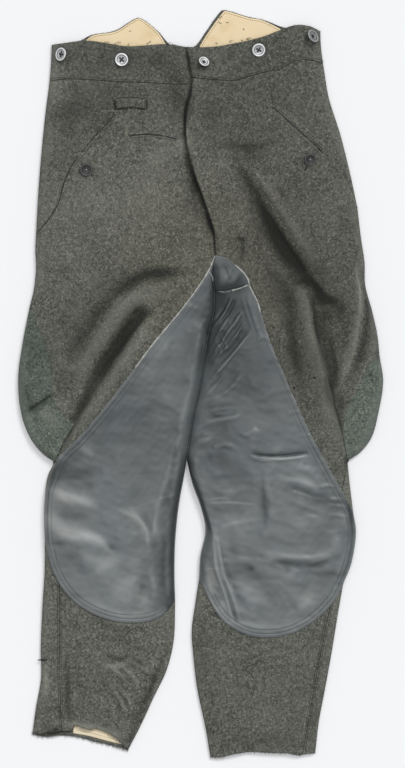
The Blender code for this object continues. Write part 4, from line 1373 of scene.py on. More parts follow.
@dataclass(frozen=True)
class PlainFinish:
    """Thread, horn, metal or another small surface with a mottled colour."""

    name: str
    base: Colour
    tint: Colour
    size: float
    roughness: float

    def make(self) -> Material:
        """Make the finish.

        Returns:
            The material.
        """
        paint = Paint(self.name)
        clouds = paint.noise(self.size, 3.0)
        return paint.finish(
            Base_Color=paint.mix(paint.step(clouds, 0.35, 0.68), self.base, self.tint),
            Roughness=self.roughness + clouds * 0.16, Normal=paint.bump(clouds, 0.08, 0.6),
        )


class Finishes:
    """Every finish of the garment, made once and found by its name."""

    # Moth holes: x, y and radius
    HOLES = places_of("""
        12,194,1.4 -34,112,1 101,78,1.6 158,8,1.6 130,-6,2.1 133,61,0.9 -196,143,0.9
    """)
    ROWS = (
        WoolFinish(
            "field_grey_wool", (0.044, 0.046, 0.038), (0.205, 0.210, 0.182),
            (0.202, 0.196, 0.152), HOLES,
        ),
        WoolFinish(
            "green_grey_wool", (0.040, 0.052, 0.044), (0.190, 0.222, 0.190), (0.18, 0.20, 0.16)
        ),
        LeatherFinish("grey_leather"),
        LeatherFinish(
            "crotch_leather", (0.100, 0.115, 0.118), (0.108, 0.120, 0.120), (0.17, 0.185, 0.19)
        ),
        CottonFinish("undyed_cotton"),
        CottonFinish("hem_cotton", (0.92, 0.80, 0.58), (0.80, 0.66, 0.43), 0.0),
        PlainFinish("cut_leather_edge", (0.50, 0.50, 0.46), (0.34, 0.35, 0.33), 3.0, 0.8),
        PlainFinish("worn_leather_edge", (0.24, 0.25, 0.24), (0.15, 0.16, 0.16), 4.0, 0.7),
        PlainFinish("dark_thread", (0.030, 0.033, 0.032), (0.055, 0.06, 0.058), 1.0, 0.7),
        PlainFinish("grey_thread", (0.055, 0.057, 0.047), (0.095, 0.097, 0.082), 1.0, 0.8),
        # Pale wool for the painted highlight along the pocket lips
        PlainFinish("highlight_wool", (0.11, 0.112, 0.095), (0.24, 0.245, 0.215), 2.2, 0.9),
        PlainFinish("olive_thread", (0.15, 0.155, 0.085), (0.21, 0.215, 0.12), 1.0, 0.8),
        PlainFinish("pale_thread", (0.34, 0.35, 0.34), (0.22, 0.23, 0.22), 1.0, 0.8),
        # Black thread, also the colour of the black lines of painted shade
        PlainFinish("black_thread_and_painted_shade", (0.010, 0.011, 0.012), (0.03, 0.03, 0.03), 0.8, 0.75),
        ButtonFinish(
            "zinc", (0.56, 0.57, 0.58), (0.22, 0.225, 0.23), (0.84, 0.85, 0.86), 0.34, 0.35
        ),
        ButtonFinish(
            "dark_horn", (0.022, 0.023, 0.022), (0.004, 0.004, 0.004), (0.075, 0.078, 0.075),
            0.42, 0.0, 0.7,
        ),
        # A darker copy of the zinc: painted shade for the steeply leaning brace button
        ButtonFinish(
            "shaded_zinc", (0.22, 0.225, 0.23), (0.07, 0.072, 0.075), (0.36, 0.37, 0.38), 0.36, 0.35
        ),
    )

    def __init__(self) -> None:
        self.made = {row.name: row.make() for row in self.ROWS}

    def __getitem__(self, name: str) -> Material:
        """The finish of that name."""
        return self.made[name]


@dataclass(frozen=True)
class Panel:
    """One cut piece of cloth or leather: its relief, thickness and sewn edge, cut as CUTS has it."""

    node: str
    relief: Relief | FlatRelief
    wall: float
    slot: Slot
    density: Density
    sewn: str = ""
    rows: tuple[float, ...] = ()
    flush: str = ""
    seam_roll: float = 0.5

    GROOVE_DEPTH = 0.28
    GROOVE_WIDTH = 0.9
    LIP_RISE = 0.3
    ROLL_WIDTH = 1.6
    SEWN_FADE = (0.12, 0.42)
    HOLLOW_REACH = 13.0
    OUTER_RIM = 0.6
    OUTER_CLEAR = 0.14
    FLUSH_CLEAR = 0.02

    def top(self, plan: Array) -> tuple[Array, Array, Array]:
        """Heights of the piece over its plan.

        The relief, then a roll down to every edge, and grooves with a raised lip along the
        rows of stitches of a sewn edge.

        Args:
            plan: Places, one row each.

        Returns:
            Height, distance from the piece's own edge, and how deep in a groove, 0 to 1.
        """
        height = self.relief.height(plan)
        cut = CUTS[self.node]
        edge = np.full(len(plan), 99.0)
        for name in " ".join((cut.left, cut.right, cut.top, cut.bottom)).split():
            if name not in self.flush.split():
                edge = np.minimum(edge, measure_line(curve(name, 5.0), plan)[0])
        height = height - self.seam_roll * bell(edge, self.ROLL_WIDTH)
        groove = np.zeros(len(plan))
        if self.sewn:
            away, _, place = measure_line(chain(self.sewn, 4.0), plan)
            firm = (1.0 - 0.7 * fade(place, *self.SEWN_FADE)) * fade(place, 0.94, 1.0)
            groove = np.max([bell(away - row, self.GROOVE_WIDTH) for row in self.rows], axis=0)
            groove = groove * firm
            lip = bell(away - 0.5 * self.rows[0], 0.42 * self.rows[0]) * firm
            height = height + self.LIP_RISE * lip - self.GROOVE_DEPTH * groove
        return height, edge, groove

    def build(self, finish: Material, trims: list[Object]) -> None:
        """Make the piece in place of its node, and state its cut.

        Args:
            finish: Its material.
            trims: Narrow strips that are sewn on it; not used.
        """
        plan = CUTS[self.node].plan(self.density)
        flat = plan.reshape(-1, 2)
        height, edge, groove = self.top(flat)
        heights = height.reshape(plan.shape[:2])
        # How far each point lies below its blurred surroundings; the finishes paint shade in hollows and
        # highlight on ridges from it
        hollow = smoothed(heights, self.HOLLOW_REACH / self.density.inside) - heights
        top = np.dstack([plan, heights])
        clear = np.where(edge < self.OUTER_RIM, self.OUTER_CLEAR, self.FLUSH_CLEAR)
        mesh = make_mesh(self.node, *shell(top, self.wall, clear))
        rim = border_of(np.arange(edge.size).reshape(heights.shape))
        # Painted shade and highlight from the strokes, kept for the finishes
        tint_and_painted_shading = painted_shading_at(flat, self.slot)
        kept = {"edge": edge, "groove": groove, "hollow": hollow.ravel(), "tint_and_painted_shading": tint_and_painted_shading}
        for name, values in kept.items():
            store(mesh, name, np.concatenate([values, values, values[rim]]))
        piece = add_piece(f"{self.node}_cloth", mesh, finish, self.node)
        self.declare(top)

    def declare(self, top: Array) -> None:
        """State the piece's cut: its widest row, its longest column and its area, all as sewn.

        Args:
            top: Its grid of points.
        """
        across, down = np.diff(top, axis=1), np.diff(top, axis=0)
        width = float(np.linalg.norm(across, axis=2).sum(axis=1).max()) * MM
        length = float(np.linalg.norm(down, axis=2).sum(axis=0).max()) * MM
        cells = np.cross(across[:-1], down[:, :-1])
        area = float(np.linalg.norm(cells, axis=2).sum()) * MM * MM
        area = min(area, 0.999 * width * length)
        LOG.info("%s: cut %.0f x %.0f mm, %.4f m2", self.node, width / MM, length / MM, area)


# Painted shade in folds, beside raised edges and round the buttons, and painted highlight where the
# share is below 0. An entry holds its share in hundredths and its width, or the widths to the left
# and the right, and then its places
STROKES = {
    Slot.WOOL: marks_of(Stroke, """
16 95: 50,380; 17 90: 70,260; 32 75: 139,150; 29 75: 140,20; 20 85: -141,443; 30 45: -195,385;
18 60: -140,-10; 12 80: 60,480; 15 60: 200,210; 15 8: -8,-328 -1,-380 6,-429;
24 5: -161,-323 -113,-342 -57,-339; 75 1.7 2.2: -20,470 -15,442 -11,422;
72 1.4 1.8: 17.5,212.2 19.6,192.6 20.4,178.6; 27 7 9.8: -50,414 -32,410 -20,397;
30 42: -195,117 -176,75 -183,33; -17 5.6: -69,86 -97,47 -125,2 -148,-37 -169,-68;
42 2.8: -246,-40 -228,-29 -200,-10; 18 8.4: -225,75 -209,26 -197,-9; -19 11.2: -214,-34 -195,-26 -186,-51;
18 14: -197,380 -169,386 -134,380; 22 4.2: 35,316 55,313 69,316; 25 7: 231,131 235,89 227,47 211,5;
-43 1.3: -135.8,377.4 -127.4,381.6 -119,380.2; -36 1.7: -123.2,373.2 -116.2,369 -110.6,366.2;
-57 1: -104,357.8 -104,346.6; 42 2.5: -141,-373 -130,-381 -119,-387 -105,-383;
-50 2.5: -136,-393 -120,-395 -104,-391; 35 2.1: -130.2,-402.4 -117.6,-410.8 -107.8,-423.4 -103.6,-438.8;
-49 2: -124.6,-398.2 -110.6,-408 -100.8,-423.4; 38 2.1: -116.2,-398.2 -103.6,-409.4 -95.2,-422;
-41 2: -107.8,-396.8 -98,-405.2 -89.6,-415; 47 2.2: -98,-393 -84,-401 -69,-414;
-43 2: -102.2,-387 -85.4,-394 -70,-403.8; 31 2: -114.8,-429 -106.4,-443 -100.8,-458.4;
-40 1.8: -110.6,-426.2 -102.2,-438.8 -96.6,-454.2; 28 2: -126,-434.6 -116.2,-448.6 -107.8,-461.2;
-41 1.7: -121.8,-429 -112,-444.4 -103.6,-458.4; 33 5.6: -176,-380 -171,-408 -165,-443;
-48 4.2: -220,-393 -217,-411 -218,-435; -25 4.2: -169,-327 -127,-334 -85,-337 -50,-328;
18 4.2: -172,-341 -127,-349 -78,-349; 19 4.2: -99,-367 -74,-373 -57,-367; 34 1.4: 15.4,-429 16.1,-450;
12 14: 4,-359 10,-429 18,-499; 55 2.8: -144,481 -116,491 -95,508 -85,512 -60,492 -43,473;
59 3.5: -11,473 7,498 24,522; 59 2.8: 29,523 66,513 97,506 122,498; 60 10.1: -195,459; 60 10.4: -110,452;
61 8.1: 4,447; 60 10.4: 81,466; 60 9.2: 156,484; 42 9.2: -160,298; 60 9.2: 152,312;
28 5.6: 133,137 141,144 153,141; -44 1.3: 97.3,384.4 131.6,355 162.4,327.7;
-39 1.3: 105.7,389.3 138.6,364.1 169.4,336.1; -39 1.3: 170.8,328.4 186.2,310.2 201.6,283.6 217,250;
75 1.4 2.2: -15,415 -20,383 -22,345 -17,324 -11,303; 88 1.4 2.5: -11,303 -7,285 0,267 7,246 13,228 19,211;
95 0.8 4.8: 8,240 13,229 17,216 20,207; 43 1.4 8.4: -15,313 -11,296 -7,279 -1,263;
14 1.4 22.4: -18,299 -11,271 -7,236; 22 11.2: -50,414 -71,411 -113,411 -141,408;
20 9.8: -32,450 -71,461 -134,467; -11 4.2: -197,426 -127,425 -43,421; 31 8.4 5.6: -50,431 -32,426 -20,417;
-21 19.6: -50,341 -71,285; 45 5.6: 27,335 43,333 63,331 85,333 102,338;
-30 3.6: 55,313 74,296 90,279 108,258;
59 4.5 8.4: 60,299 73,275 87,247 104,218 120,191 136,169 150,149 167,131; 32 4.2: 108,277 113,265 122,253;
26 14: 127,292 141,271; 54 3.5 5.6: 147,144 158,139 167,130 174,117; 64 2.2: 48,205 55,202 62,201;
41 2.8: 59,201 59,187 56,167; 29 7: 122,117 126,75 134,26 141,-9;
-13 4.2: 143,131 148,103 154,72 164,37 175,-1; 95 3.4 1.7: 182,-20 189,-43 200,-79 206,-103;
-84 1.1 1.7: 217.6,168.8 217,156.2 220.6,140.8 223,122.6 222.6,98.8;
-45 1.3 5.6: 223,131 223,99 220,72 215,46 206,22 196,-1 188,-20;
30 8.4 1.4: 225,151 230,131 231,103 228,72 221,44 211,19 200,-6 192,-29;
-26 1.4: 240.8,44.2 228.2,21.8 217,-9 207.2,-31.4 198.8,-55.2;
53 7: -17,158 -36,157 -57,158 -77,155 -94,146 -106,134;
23 11.2: -99,141 -125,117 -148,92 -167,67 -183,43 -197,16; 18 16.8: -113,166 -162,117;
77 1.4 12.6: -67,100 -81,89 -94,74 -113,44 -127,23 -141,-1; 34 5.6 11.2: -97,92 -111,72 -125,50;
65 1.7 5: -133,13 -153,-20 -164,-38 -181,-69 -197,-96; -14 4.2: -122,75 -111,109 -90,124 -63,118;
-22 5.6: -130,67 -150,33 -167,2 -181,-26; 36 4.2: -189,-373 -185,-415 -186,-463;
-19 4.2: -125,-345 -92,-348 -57,-342; 28 7 4.2: -43,-359 -57,-394 -77,-436 -99,-496;
-48 7: -200,-474 -153,-482 -111,-493; 41 7 1.7: 155,120 159,92 165,54 174,16 182,-15;
53 8 9.8: 164,121 178,117 195,114; 33 11.2: 186,110 202,96; 75 2.2 4.8: 176,5 182,-16 189,-37;
60 14 12: 80,251 97,212 116,179 136,145; 28 5.6: 55,324 69,320 85,316;
36 6 7: -43,149 -64,151 -83,146 -97,138; 30 2.8 7: -102,54 -116,33 -130,13;
73 1.1 3.6: 10,237 14,225 19,209; 17 84: 90,-429; 28 11.2: 20,-502 146,-499;
-14 11.2: 183,222 209,201 211,152; 35 3.5: -95,-474 -71,-429 -52,-380;
78 3.4: -217,-486 -209,-488 -199,-482; -21 12.6: -206,464 -211,390;
66 1.4 3.6: -12,425 -14,404 -20,386 -22,362; 95 3.4: 174,8 179,-6 183,-24;
-43 5.6 2.1: 202,-2 192,-20 188,-36; -25 4.9: 169,95 174,54 181,22;
58 2.2 2.8: 156,113 160,82 164,54 171,26 176,5; 24 12.6: 94,131 111,103; 48 5.6: -102,97 -88,102 -73,97;
16 14: -225,-446 -186,-460 -141,-463; -33 1.1: 152.6,-443 148,-461.2 143.5,-489.2 142.1,-513;
18 4.2: 161,-443 154,-513; -24 1.1: -197.4,-380 -196,-429 -195.3,-476.6; 33 4.2: -189,-387 -186,-471;
21 8.4 5.6: -21,138 -41,117 -57,92; 31 19.6: -113,445 -71,445 -32,439; 36 14: -50,411 -29,383;
35 7 5.6: -15,467 -14,439; 31 5.6 9.8: -15,404 -20,362; 28 8.4 2.8: -15,288 -11,257 -6,235;
-26 19.6: -200,428 -195,375; 48 7: -98,104 -84,110; 33 8.4: -108,86 -97,95;
-19 5.6: -69,165 -46,166 -21,162; 26 7: -77,138 -60,146 -41,144; 27 7: -106,170 -116,131 -127,117;
24 5.6: -85,82 -102,54 -116,33; 27 9.8: 139,184 164,159 189,134; 27 12.6: 192,117 199,82 196,47;
-27 3.6: 172,86 179,54 183,25; 72 3.4: 175,4 179,-10 182,-24; 27 4.2: 182,-23 190,-58 199,-90;
25 7: 116,131 129,103 127,72; 30 11.2: 85,170 111,142 133,117; 20 7: 223,148 237,96 251,33;
23 5.6: -147,-477 -125,-481; 36 2.2: -209,-481 -197,-486 -189,-485; 29 7: -101,-506 -94,-482;
42 8.4 7: 169,103 181,89; 16 9.8: 62,271 76,222 85,187; -24 19.6: -71,418 -36,418; 29 16.8: 6,397 20,362;
30 19.6: -136,453; -12 42: -78,257; -20 11.2: -24,334; 28 30.8: 139,36; -10 70: -127,-415; -8 70: 76,-429;
-8 42: 83,257; -12 19.6: -136,453; 12 36.4: -209,327; 7 70: -127,-415; -25 12.6: -24,334; -8 30.8: 139,36;
35 14: 167,120; 12 28: 245,40; -12 30.8: -99,436; -10 42: -176,257; -12 36.4: 20,292; -12 22.4: 174,187;
20 14: 55,194; 40 12.6: 178,-9; -12 16.8: -197,453 -197,383; 12 22.4: -71,481 -15,474; 10 30.8: 139,397
    """),
    Slot.FLARE: marks_of(Stroke, """
28 60: -232,40; 10 30: 240,30; 29 3: -250,-30 -230,-34 -212,-20;
46 2.1: -247.8,-39.8 -228.2,-28.6 -200.2,-10.4; -24 12.6: -239,-51 -218,-40 -203,-65;
30 7: 227,148 237,92 248,36; 51 1.7: -249.2,-42.6 -239.4,-35.6 -225.4,-25.8 -197.4,-9;
33 5.6: -248,16 -244,-16 -238,-44; -13 16.8: -225,117 -235,61; 20 7: 225,142 239,96 251,33;
25 8.4: -245,-16 -225,-58
    """),
    Slot.LEATHER: marks_of(Stroke, """
59 42: 26,92; 36 34: 12,40; 30 70: 60,60; 19 80: -20,60; 34 90: -60,-80; 23 60: -130,-60; 16 80: 100,-40;
75 5: 22,162 20,145 18,128; 61 8: 18,117 14,75 8,33; -88 7: -206,-149 -189,-159 -167,-164 -150,-169;
-49 8: -211,-183 -200,-202 -178,-212 -153,-213 -127,-227; -63 2.4: 71,-102 111,-104 148,-101;
25 3: 1,-43 27,-45 46,-48; -23 4: -7,-59 6,-68 18,-73; -20 4: 52,-23 63,-20 69,-29;
31 3.5: 13,-180 43,-178 71,-181; -19 7: 55,-311 80,-303 105,-309; -40 4: 4,-247 13,-281 29,-309;
19 58.8: 69,5; 27 30.8: 85,-100; -47 1.3 1.5: 44.1,121.2 37.8,108.6 30.8,96 21,84.8 11.2,73.6;
-41 1.3 1.5: 71.4,73.6 60.2,59.6 49,45.6 33.6,27.4 14,3.6;
-39 1.3: 56.7,100.2 47.6,86.2 37.8,72.2 28,56.8; -21 8.4: -71,19 -50,54 -22,75; -30 6: -167,-94 -148,-100;
-34 2.8: -113,-177 -90,-187 -76,-205 -74,-223; 22 7: -71,-226 -74,-254 -76,-282;
-22 1.4: -99.4,-174.2 -75.6,-167.2 -39.2,-153.2; 46 7: -50,-219 -53,-261 -57,-303;
40 1.7: 1.4,-48.2 21,-45.4 40.6,-48.2; -20 7: 115,-62 139,-65; 67 1: 74.2,-98.6 110.6,-100.7 149.8,-96.5;
-74 1.1: 77,-102.8 110.6,-104.9 147,-100; -26 8.4: 118,-121 139,-129 174,-152;
-25 11.2: 24,-174 43,-191 69,-202; -31 5.6: 85,-236 118,-247 155,-250; 27 5.6: 83,-268 116,-295 139,-320;
-25 7: -164,-240 -141,-247 -125,-247; 13 7: -197,-236 -176,-247 -148,-268;
37 1.7: -218.4,-223.2 -203,-223.2 -191.8,-221.8; 29 4.2 5.6: 48,-233 76,-247 104,-255 153,-262 197,-262;
18 2.8: 85,-124 88,-163 91,-205; 30 22.4: 34,-132 62,-142; 14 1.4: 8.4,-163 40.6,-161.6 75.6,-164.4;
-46 1.7: 8.4,-167.2 40.6,-165.8 74.2,-168.6; 27 4.2: 69,-208 104,-219 139,-227;
49 8.4: -210,-141 -203,-124 -189,-110; 42 6.3: -200,-124 -169,-122 -143,-120;
95 8.4 12.6: -28,-96 -33,-163 -38,-219 -41,-275 -41,-328; 28 12.6: -41,-121 -48,-205 -50,-303;
27 9.8: -88,-54 -60,-57; 30 12.6: -203,-226 -189,-264; -21 8.4: -105,-247 -85,-255;
-26 8.4: -130,-283 -97,-281; -29 5.6 4.2: -164,-300 -136,-314 -102,-324 -71,-320;
-41 5.6: -67,-264 -62,-300; -25 4.2: -203,-275 -195,-306; 25 4.2: -136,-219 -127,-226 -119,-232;
25 5.6: -60,-205 -63,-247 -62,-289; 72 2.2 3.4: 22,167 20,153 21,138; 51 5.6: 29,167 41,162;
30 2.8: 39,162 48,151 55,144; 51 8.4: 20,131 18,110 15,89; 95 7: 29,130 46,132 56,135;
77 8.4: 45,123 35,100 22,81; -29 1.5: 29.4,161.8 40.6,157.6 50.4,146.4; 23 11.2: 4,-26 -4,-65 3,-96;
23 11.2: 15,-68 43,-73; 49 4.2: 8,-216 3,-247 3,-278; 37 3.4: 28,-226 35,-255 46,-283;
-57 1.7: 14.7,-205 18.9,-233 21,-258.2; -57 2: 21,-258.2 32.2,-290.4 44.8,-331;
-37 1.7: 22.4,-214.8 27.3,-242.8 31.5,-265.2; -56 1.8: 31.5,-265.2 42,-291.8 54.6,-328.2;
51 1.7: 23.8,-252.6 34.3,-290.4 49.7,-333.8; -26 1.1: 7,-258.9 14,-258.2 21,-258.9;
-34 4.2: 10,-289 21,-313 42,-331 83,-339 125,-338 161,-323; 32 5.6: 17,-289 28,-311;
28 15.4: 136,-160 169,-167 203,-170; 32 8.4 4.2: 203,-124 210,-170 209,-219 200,-264;
33 11.2: 147,-219 169,-216 197,-213; -34 3.6: 151,-251 169,-244 190,-236;
31 5.6: 69,-253 99,-258 129,-265; -15 7: 57,-115 85,-120 116,-113; 28 8.4: 92,-149 98,-180;
25 2.2 4.2: 119,-149 146,-156 175,-166; -15 7: 80,-268 118,-282 139,-300;
33 4.9: 139,-258 167,-264 199,-264; -24 7: 125,-320 160,-300; 94 1.4: 74.2,-98.6 110.6,-100.7 149.8,-96.5;
-43 5.6 9.8: -216,-187 -197,-204 -169,-211 -144,-219 -127,-229; -20 11.2: -214,-191 -189,-202 -164,-209;
-31 3.6 7: -209,-147 -189,-155 -164,-163; -27 5.6 4.2: -112,-178 -95,-187 -83,-201 -76,-219;
-18 4.2: -74,-212 -74,-247; -36 1.5: -38.5,-83.2 -47.6,-135 -57.4,-163 -63.7,-195.2 -67.2,-223.2;
37 7 5.6: -29,-107 -34,-163 -36,-247 -38,-324; -21 28: -127,-289 -85,-297;
86 2.1: -19.6,-100 -15.4,-122.4 -7.7,-141.3 0,-165.8 7,-185.4 12.6,-200.8 16.8,-216.2;
-50 1.3: 4.2,-163 9.8,-181.2 15.4,-198 19.6,-216.2; -31 14: 49,-286 69,-320; 56 4.2: 21,167 21,139;
62 7 11.2: -210,-142 -203,-127 -193,-114 -179,-103; 33 7: -192,-127 -164,-125 -144,-121;
95 12.6: 29,128 25,103 20,81; 55 5.6: 18,169 21,138; -38 8.4 7: 11,-258 21,-290 36,-320;
38 7 4.2: 39,-264 50,-292 64,-311; -15 7: -155,-325 -106,-339 -71,-334; 27 11.2: -27,-51 -25,-100;
33 4.2: 48,-264 62,-261 80,-258; 14 14: 119,-79 127,-121; -42 5.6: 8,117 7,61 3,8;
36 11.2: 49,170 55,138 60,117; -22 5.6: -17,-23 -24,-79 -32,-124;
63 4.8: -15,-104 -4,-138 11,-198 18,-236; 27 5.6: 8,-236 7,-264 10,-292; -34 3.5: 15,-261 25,-293 39,-321;
32 4.2: 36,-261 49,-292 66,-313; 45 5.6: -43,-289 -42,-320 -50,-334;
44 4.2: -202,-134 -181,-132 -155,-132; -21 9.8: -94,-174 -88,-212; -20 11.2: 91,-118 122,-135;
39 5.6: 207,-135 211,-174; 20 7: 164,-159 192,-155; -22 5.6: 125,-260 155,-257 189,-241;
26 4.2: 80,-254 133,-246; 24 7: 43,-300 88,-313; 33 14: 38,-51 29,-121; 15 14: 20,5 29,-23;
19 11.2: -71,-40 -120,-34; 24 8.4: 153,-275 181,-268; 20 5.6: 41,-191 48,-247; 25 3.1: 43,159 29,117;
29 2: 54.6,150.6 35,108.6; 23 1.7: 49,131 29.4,91.8; 93 11.2: 20,113 28,81 42,92;
35 14: 6,-79 34,-110 62,-124;
24 2.2: 7,-303 18,-325 35,-344 62,-355 97,-359 134,-355 164,-341 186,-314 202,-282 210,-247;
61 8.4 7: 203,-127 209,-170 207,-201; -31 5.6: -34,-110 -36,-184 -41,-261 -43,-309;
51 5: 115,-142 139,-149 164,-160 185,-167; -39 3.6: 116,-134 139,-135 161,-145;
-29 4.9: 127,-163 155,-173 181,-180; 40 5.6: 85,-143 87,-170 90,-198; 45 5.6: 35,-250 69,-257 102,-264;
43 5.6: 105,-250 139,-254 169,-251; -30 3.4: 94,-237 125,-241 155,-243 181,-233;
41 4.2: 164,-255 181,-247 197,-240; -29 3.6: 34,-236 62,-243 85,-248; -17 7: 55,-282 76,-289;
26 5.6: 85,-282 97,-299 111,-320; -35 4.2: 97,-278 115,-295 125,-311; 32 5.6: 63,-272 85,-268;
-24 8.4: 139,-303 160,-296; -31 2.8: 24,-201 48,-194 76,-190; -38 2.2: 8,-163 29,-160 49,-162;
26 4.2: 6,-171 34,-173 69,-173; 19 2.8: 49,-225 71,-230; -18 4.2: 125,-194 153,-199;
-26 2.8: -4,-96 20,-93 43,-96; 29 4.2: -1,-104 27,-103; -37 3.1: 3,-23 18,-20 35,-24;
37 3.4: 6,-34 29,-30 49,-29; -33 4.2: -71,-185 -62,-205 -57,-226; 31 3.4: -76,-194 -69,-211 -66,-233;
-32 7: -155,-268 -134,-255 -116,-247; -19 7: -85,-289 -78,-310; 19 5.6: -69,-278 -67,-306;
30 4.5: 203,-132 209,-163 209,-191; 18 9.8: 25,86 38,92 43,117; -26 1.1: 29.4,91.8 18.2,75 11.2,61;
-22 1.1: 42,100.2 29.4,80.6 16.8,61; -37 1.1: 21,66.6 15.4,52.6 11.2,38.6;
-26 1.1: 35,63.8 23.8,47 14,30.2; 22 36.4 30.8: 69,5; 35 21: 32,92; 35 28: 29,86; 30 9.8: 178,-6;
40 12.6: 29,95; 35 14: -13,-113; 35 11.2: -46,-311; 22 22.4 33.6: 202,-121 204,-191; 22 16.8: 15,-191;
-30 7: 7,82 7,40; 25 14: 178,-12
    """),
}


def painted_shading_at(points: Array, slot: Slot) -> Array:
    """Painted shade at each place: how much darker it is painted than the rest of its material, below 0
    where it is painted paler as a highlight.
    """
    tint_and_painted_shading = sum((stroke.at(points) for stroke in STROKES.get(slot, ())), np.zeros(len(points)))
    return (0.01 * tint_and_painted_shading).clip(-0.9, 0.95)


@dataclass
class Backs:
    """Back panels and the leather of the inner leg, flat on the floor."""

    finishes: Finishes
    density: Density = Density(7.0, 2.2, 10.0)
    strip: Density = Density(2.4, 0.9, 6.0)

    LOOKS = {"back": ("field_grey_wool", Slot.WOOL), "leather_back": ("grey_leather", Slot.LEATHER)}

    def build(self) -> None:
        """Make the cut pieces and the cotton in the right hem."""
        for kind, (finish, slot) in self.LOOKS.items():
            for side in Side:
                panel = Panel(f"{kind}_{side.value}", FlatRelief(WOOL), WOOL, slot, self.density)
                panel.build(self.finishes[finish], [])
        relief = FlatRelief(LINING, 0.1)
        strip = Panel("hem_lining_right", relief, COTTON, Slot.COTTON, self.strip)
        strip.build(self.finishes["hem_cotton"], [])


@dataclass
class Waist:
    """Waistband, raised back peaks and their cotton lining."""

    finishes: Finishes
    density: Density = Density(2.4, 0.9, 6.0)
    back_density: Density = Density(6.0, 2.0, 8.0)

    def build(self) -> None:
        """Make the cut pieces."""
        wool, cotton = self.finishes["field_grey_wool"], self.finishes["undyed_cotton"]
        for side in Side:
            node = f"waistband_{side.value}"
            band = Panel(node, ON_BAND[side], BAND, Slot.WOOL, self.density, seam_roll=0.9)
            band.build(wool, [])
        for side in Side:
            node = f"back_peak_{side.value}"
            Panel(node, FlatRelief(WOOL), WOOL, Slot.WOOL, self.back_density).build(wool, [])
        for side in Side:
            node = f"peak_lining_{side.value}"
            relief = FlatRelief(LINING, 0.12)
            Panel(node, relief, COTTON, Slot.COTTON, self.density).build(cotton, [])


@dataclass
class Fronts:
    """Front panels from waist to hem, hip pieces, flares and side strips of the calves."""

    finishes: Finishes
    density: Density = Density(2.8, 1.05, 11.0)
    small: Density = Density(2.5, 1.0, 6.0)

    def build(self, trims: dict[str, list[Object]]) -> None:
        """Make the cut pieces.

        Args:
            trims: Strips sewn on them, by node.
        """
        for kind in ("front", "hip", "gusset", "calf_side"):
            slot = Slot.FLARE if kind == "gusset" else Slot.WOOL
            finish = "green_grey_wool" if kind == "gusset" else "field_grey_wool"
            for side in Side:
                node = f"{kind}_{side.value}"
                panel = Panel(
                    node, Relief(side, Layer.HIP if kind == "hip" else Layer.FRONT), WOOL, slot,
                    self.density if kind == "front" else self.small,
                    flush=f"slash_up_{side.value} gusset_seam_{side.value}",
                )
                panel.build(self.finishes[finish], trims.get(node, []))


@dataclass
class Leathers:
    """Leather over the inner legs and knees, with topstitched edges."""

    finishes: Finishes
    density: Density = Density(1.95, 0.85, 12.0)

    SEWN = {
        "leather_right": "leather_edge_right knee_side_right leather_foot_right",
        "leather_left": "leather_edge_left knee_side_left leather_foot_left",
        "leather_crotch": "crotch_top",
    }
    ROWS = (5.4, 10.8)
    CROTCH_ROWS = (2.4,)

    def build(self) -> None:
        """Make the cut pieces, with grooves for the rows of stitches along their sewn edges."""
        for node, sewn in self.SEWN.items():
            small = node == "leather_crotch"
            panel = Panel(
                node, OVER[side_of(node)], LEATHER, Slot.LEATHER, self.density, sewn,
                self.CROTCH_ROWS if small else self.ROWS,
            )
            panel.build(self.finishes["crotch_leather" if small else "grey_leather"], [])


@dataclass(frozen=True)
class StitchRow:
    """A row of stitches beside named curves, on a layer."""

    names: str
    beside: float
    first: float = 0.0
    last: float = 1.0
    raised: float = 0.1
    pitch: float = 3.2
    radius: float = 0.36

    GROUNDS = {
        "leather": OVER, "crotch": OVER, "calf": FRONT, "slash": FRONT, "fly": FRONT,
        "band": ON_BAND, "lining": LININGS, "strip": LININGS,
    }
    LIFT = np.array([-0.9, 0.35, 0.5, 0.35, -0.9])
    SWELL = np.array([0.5, 0.95, 1.0, 0.95, 0.5])
    PLACE = np.array([-0.36, -0.2, 0.0, 0.2, 0.36])

    def shape(self) -> Shape:
        """The stitches: short threads that dip into the cloth at both ends.

        Returns:
            Their points and faces.
        """
        line = resample(beside(chain(self.names), self.beside), 1.0)
        line = line[int(self.first * len(line)) : max(3, int(self.last * len(line)))]
        along = run_of(line)
        middles = np.arange(0.5 * self.pitch, along[-1], self.pitch)
        plan = walked(line, along, middles[:, None] + self.pitch * self.PLACE)
        ground = self.GROUNDS[self.names.split("_")[0]][side_of(self.names)]
        height = ground.height(plan.reshape(-1, 2)).reshape(plan.shape[:2])
        height = height + self.raised + self.radius * self.LIFT
        return tubes(np.dstack([plan, height]), self.radius * self.SWELL)


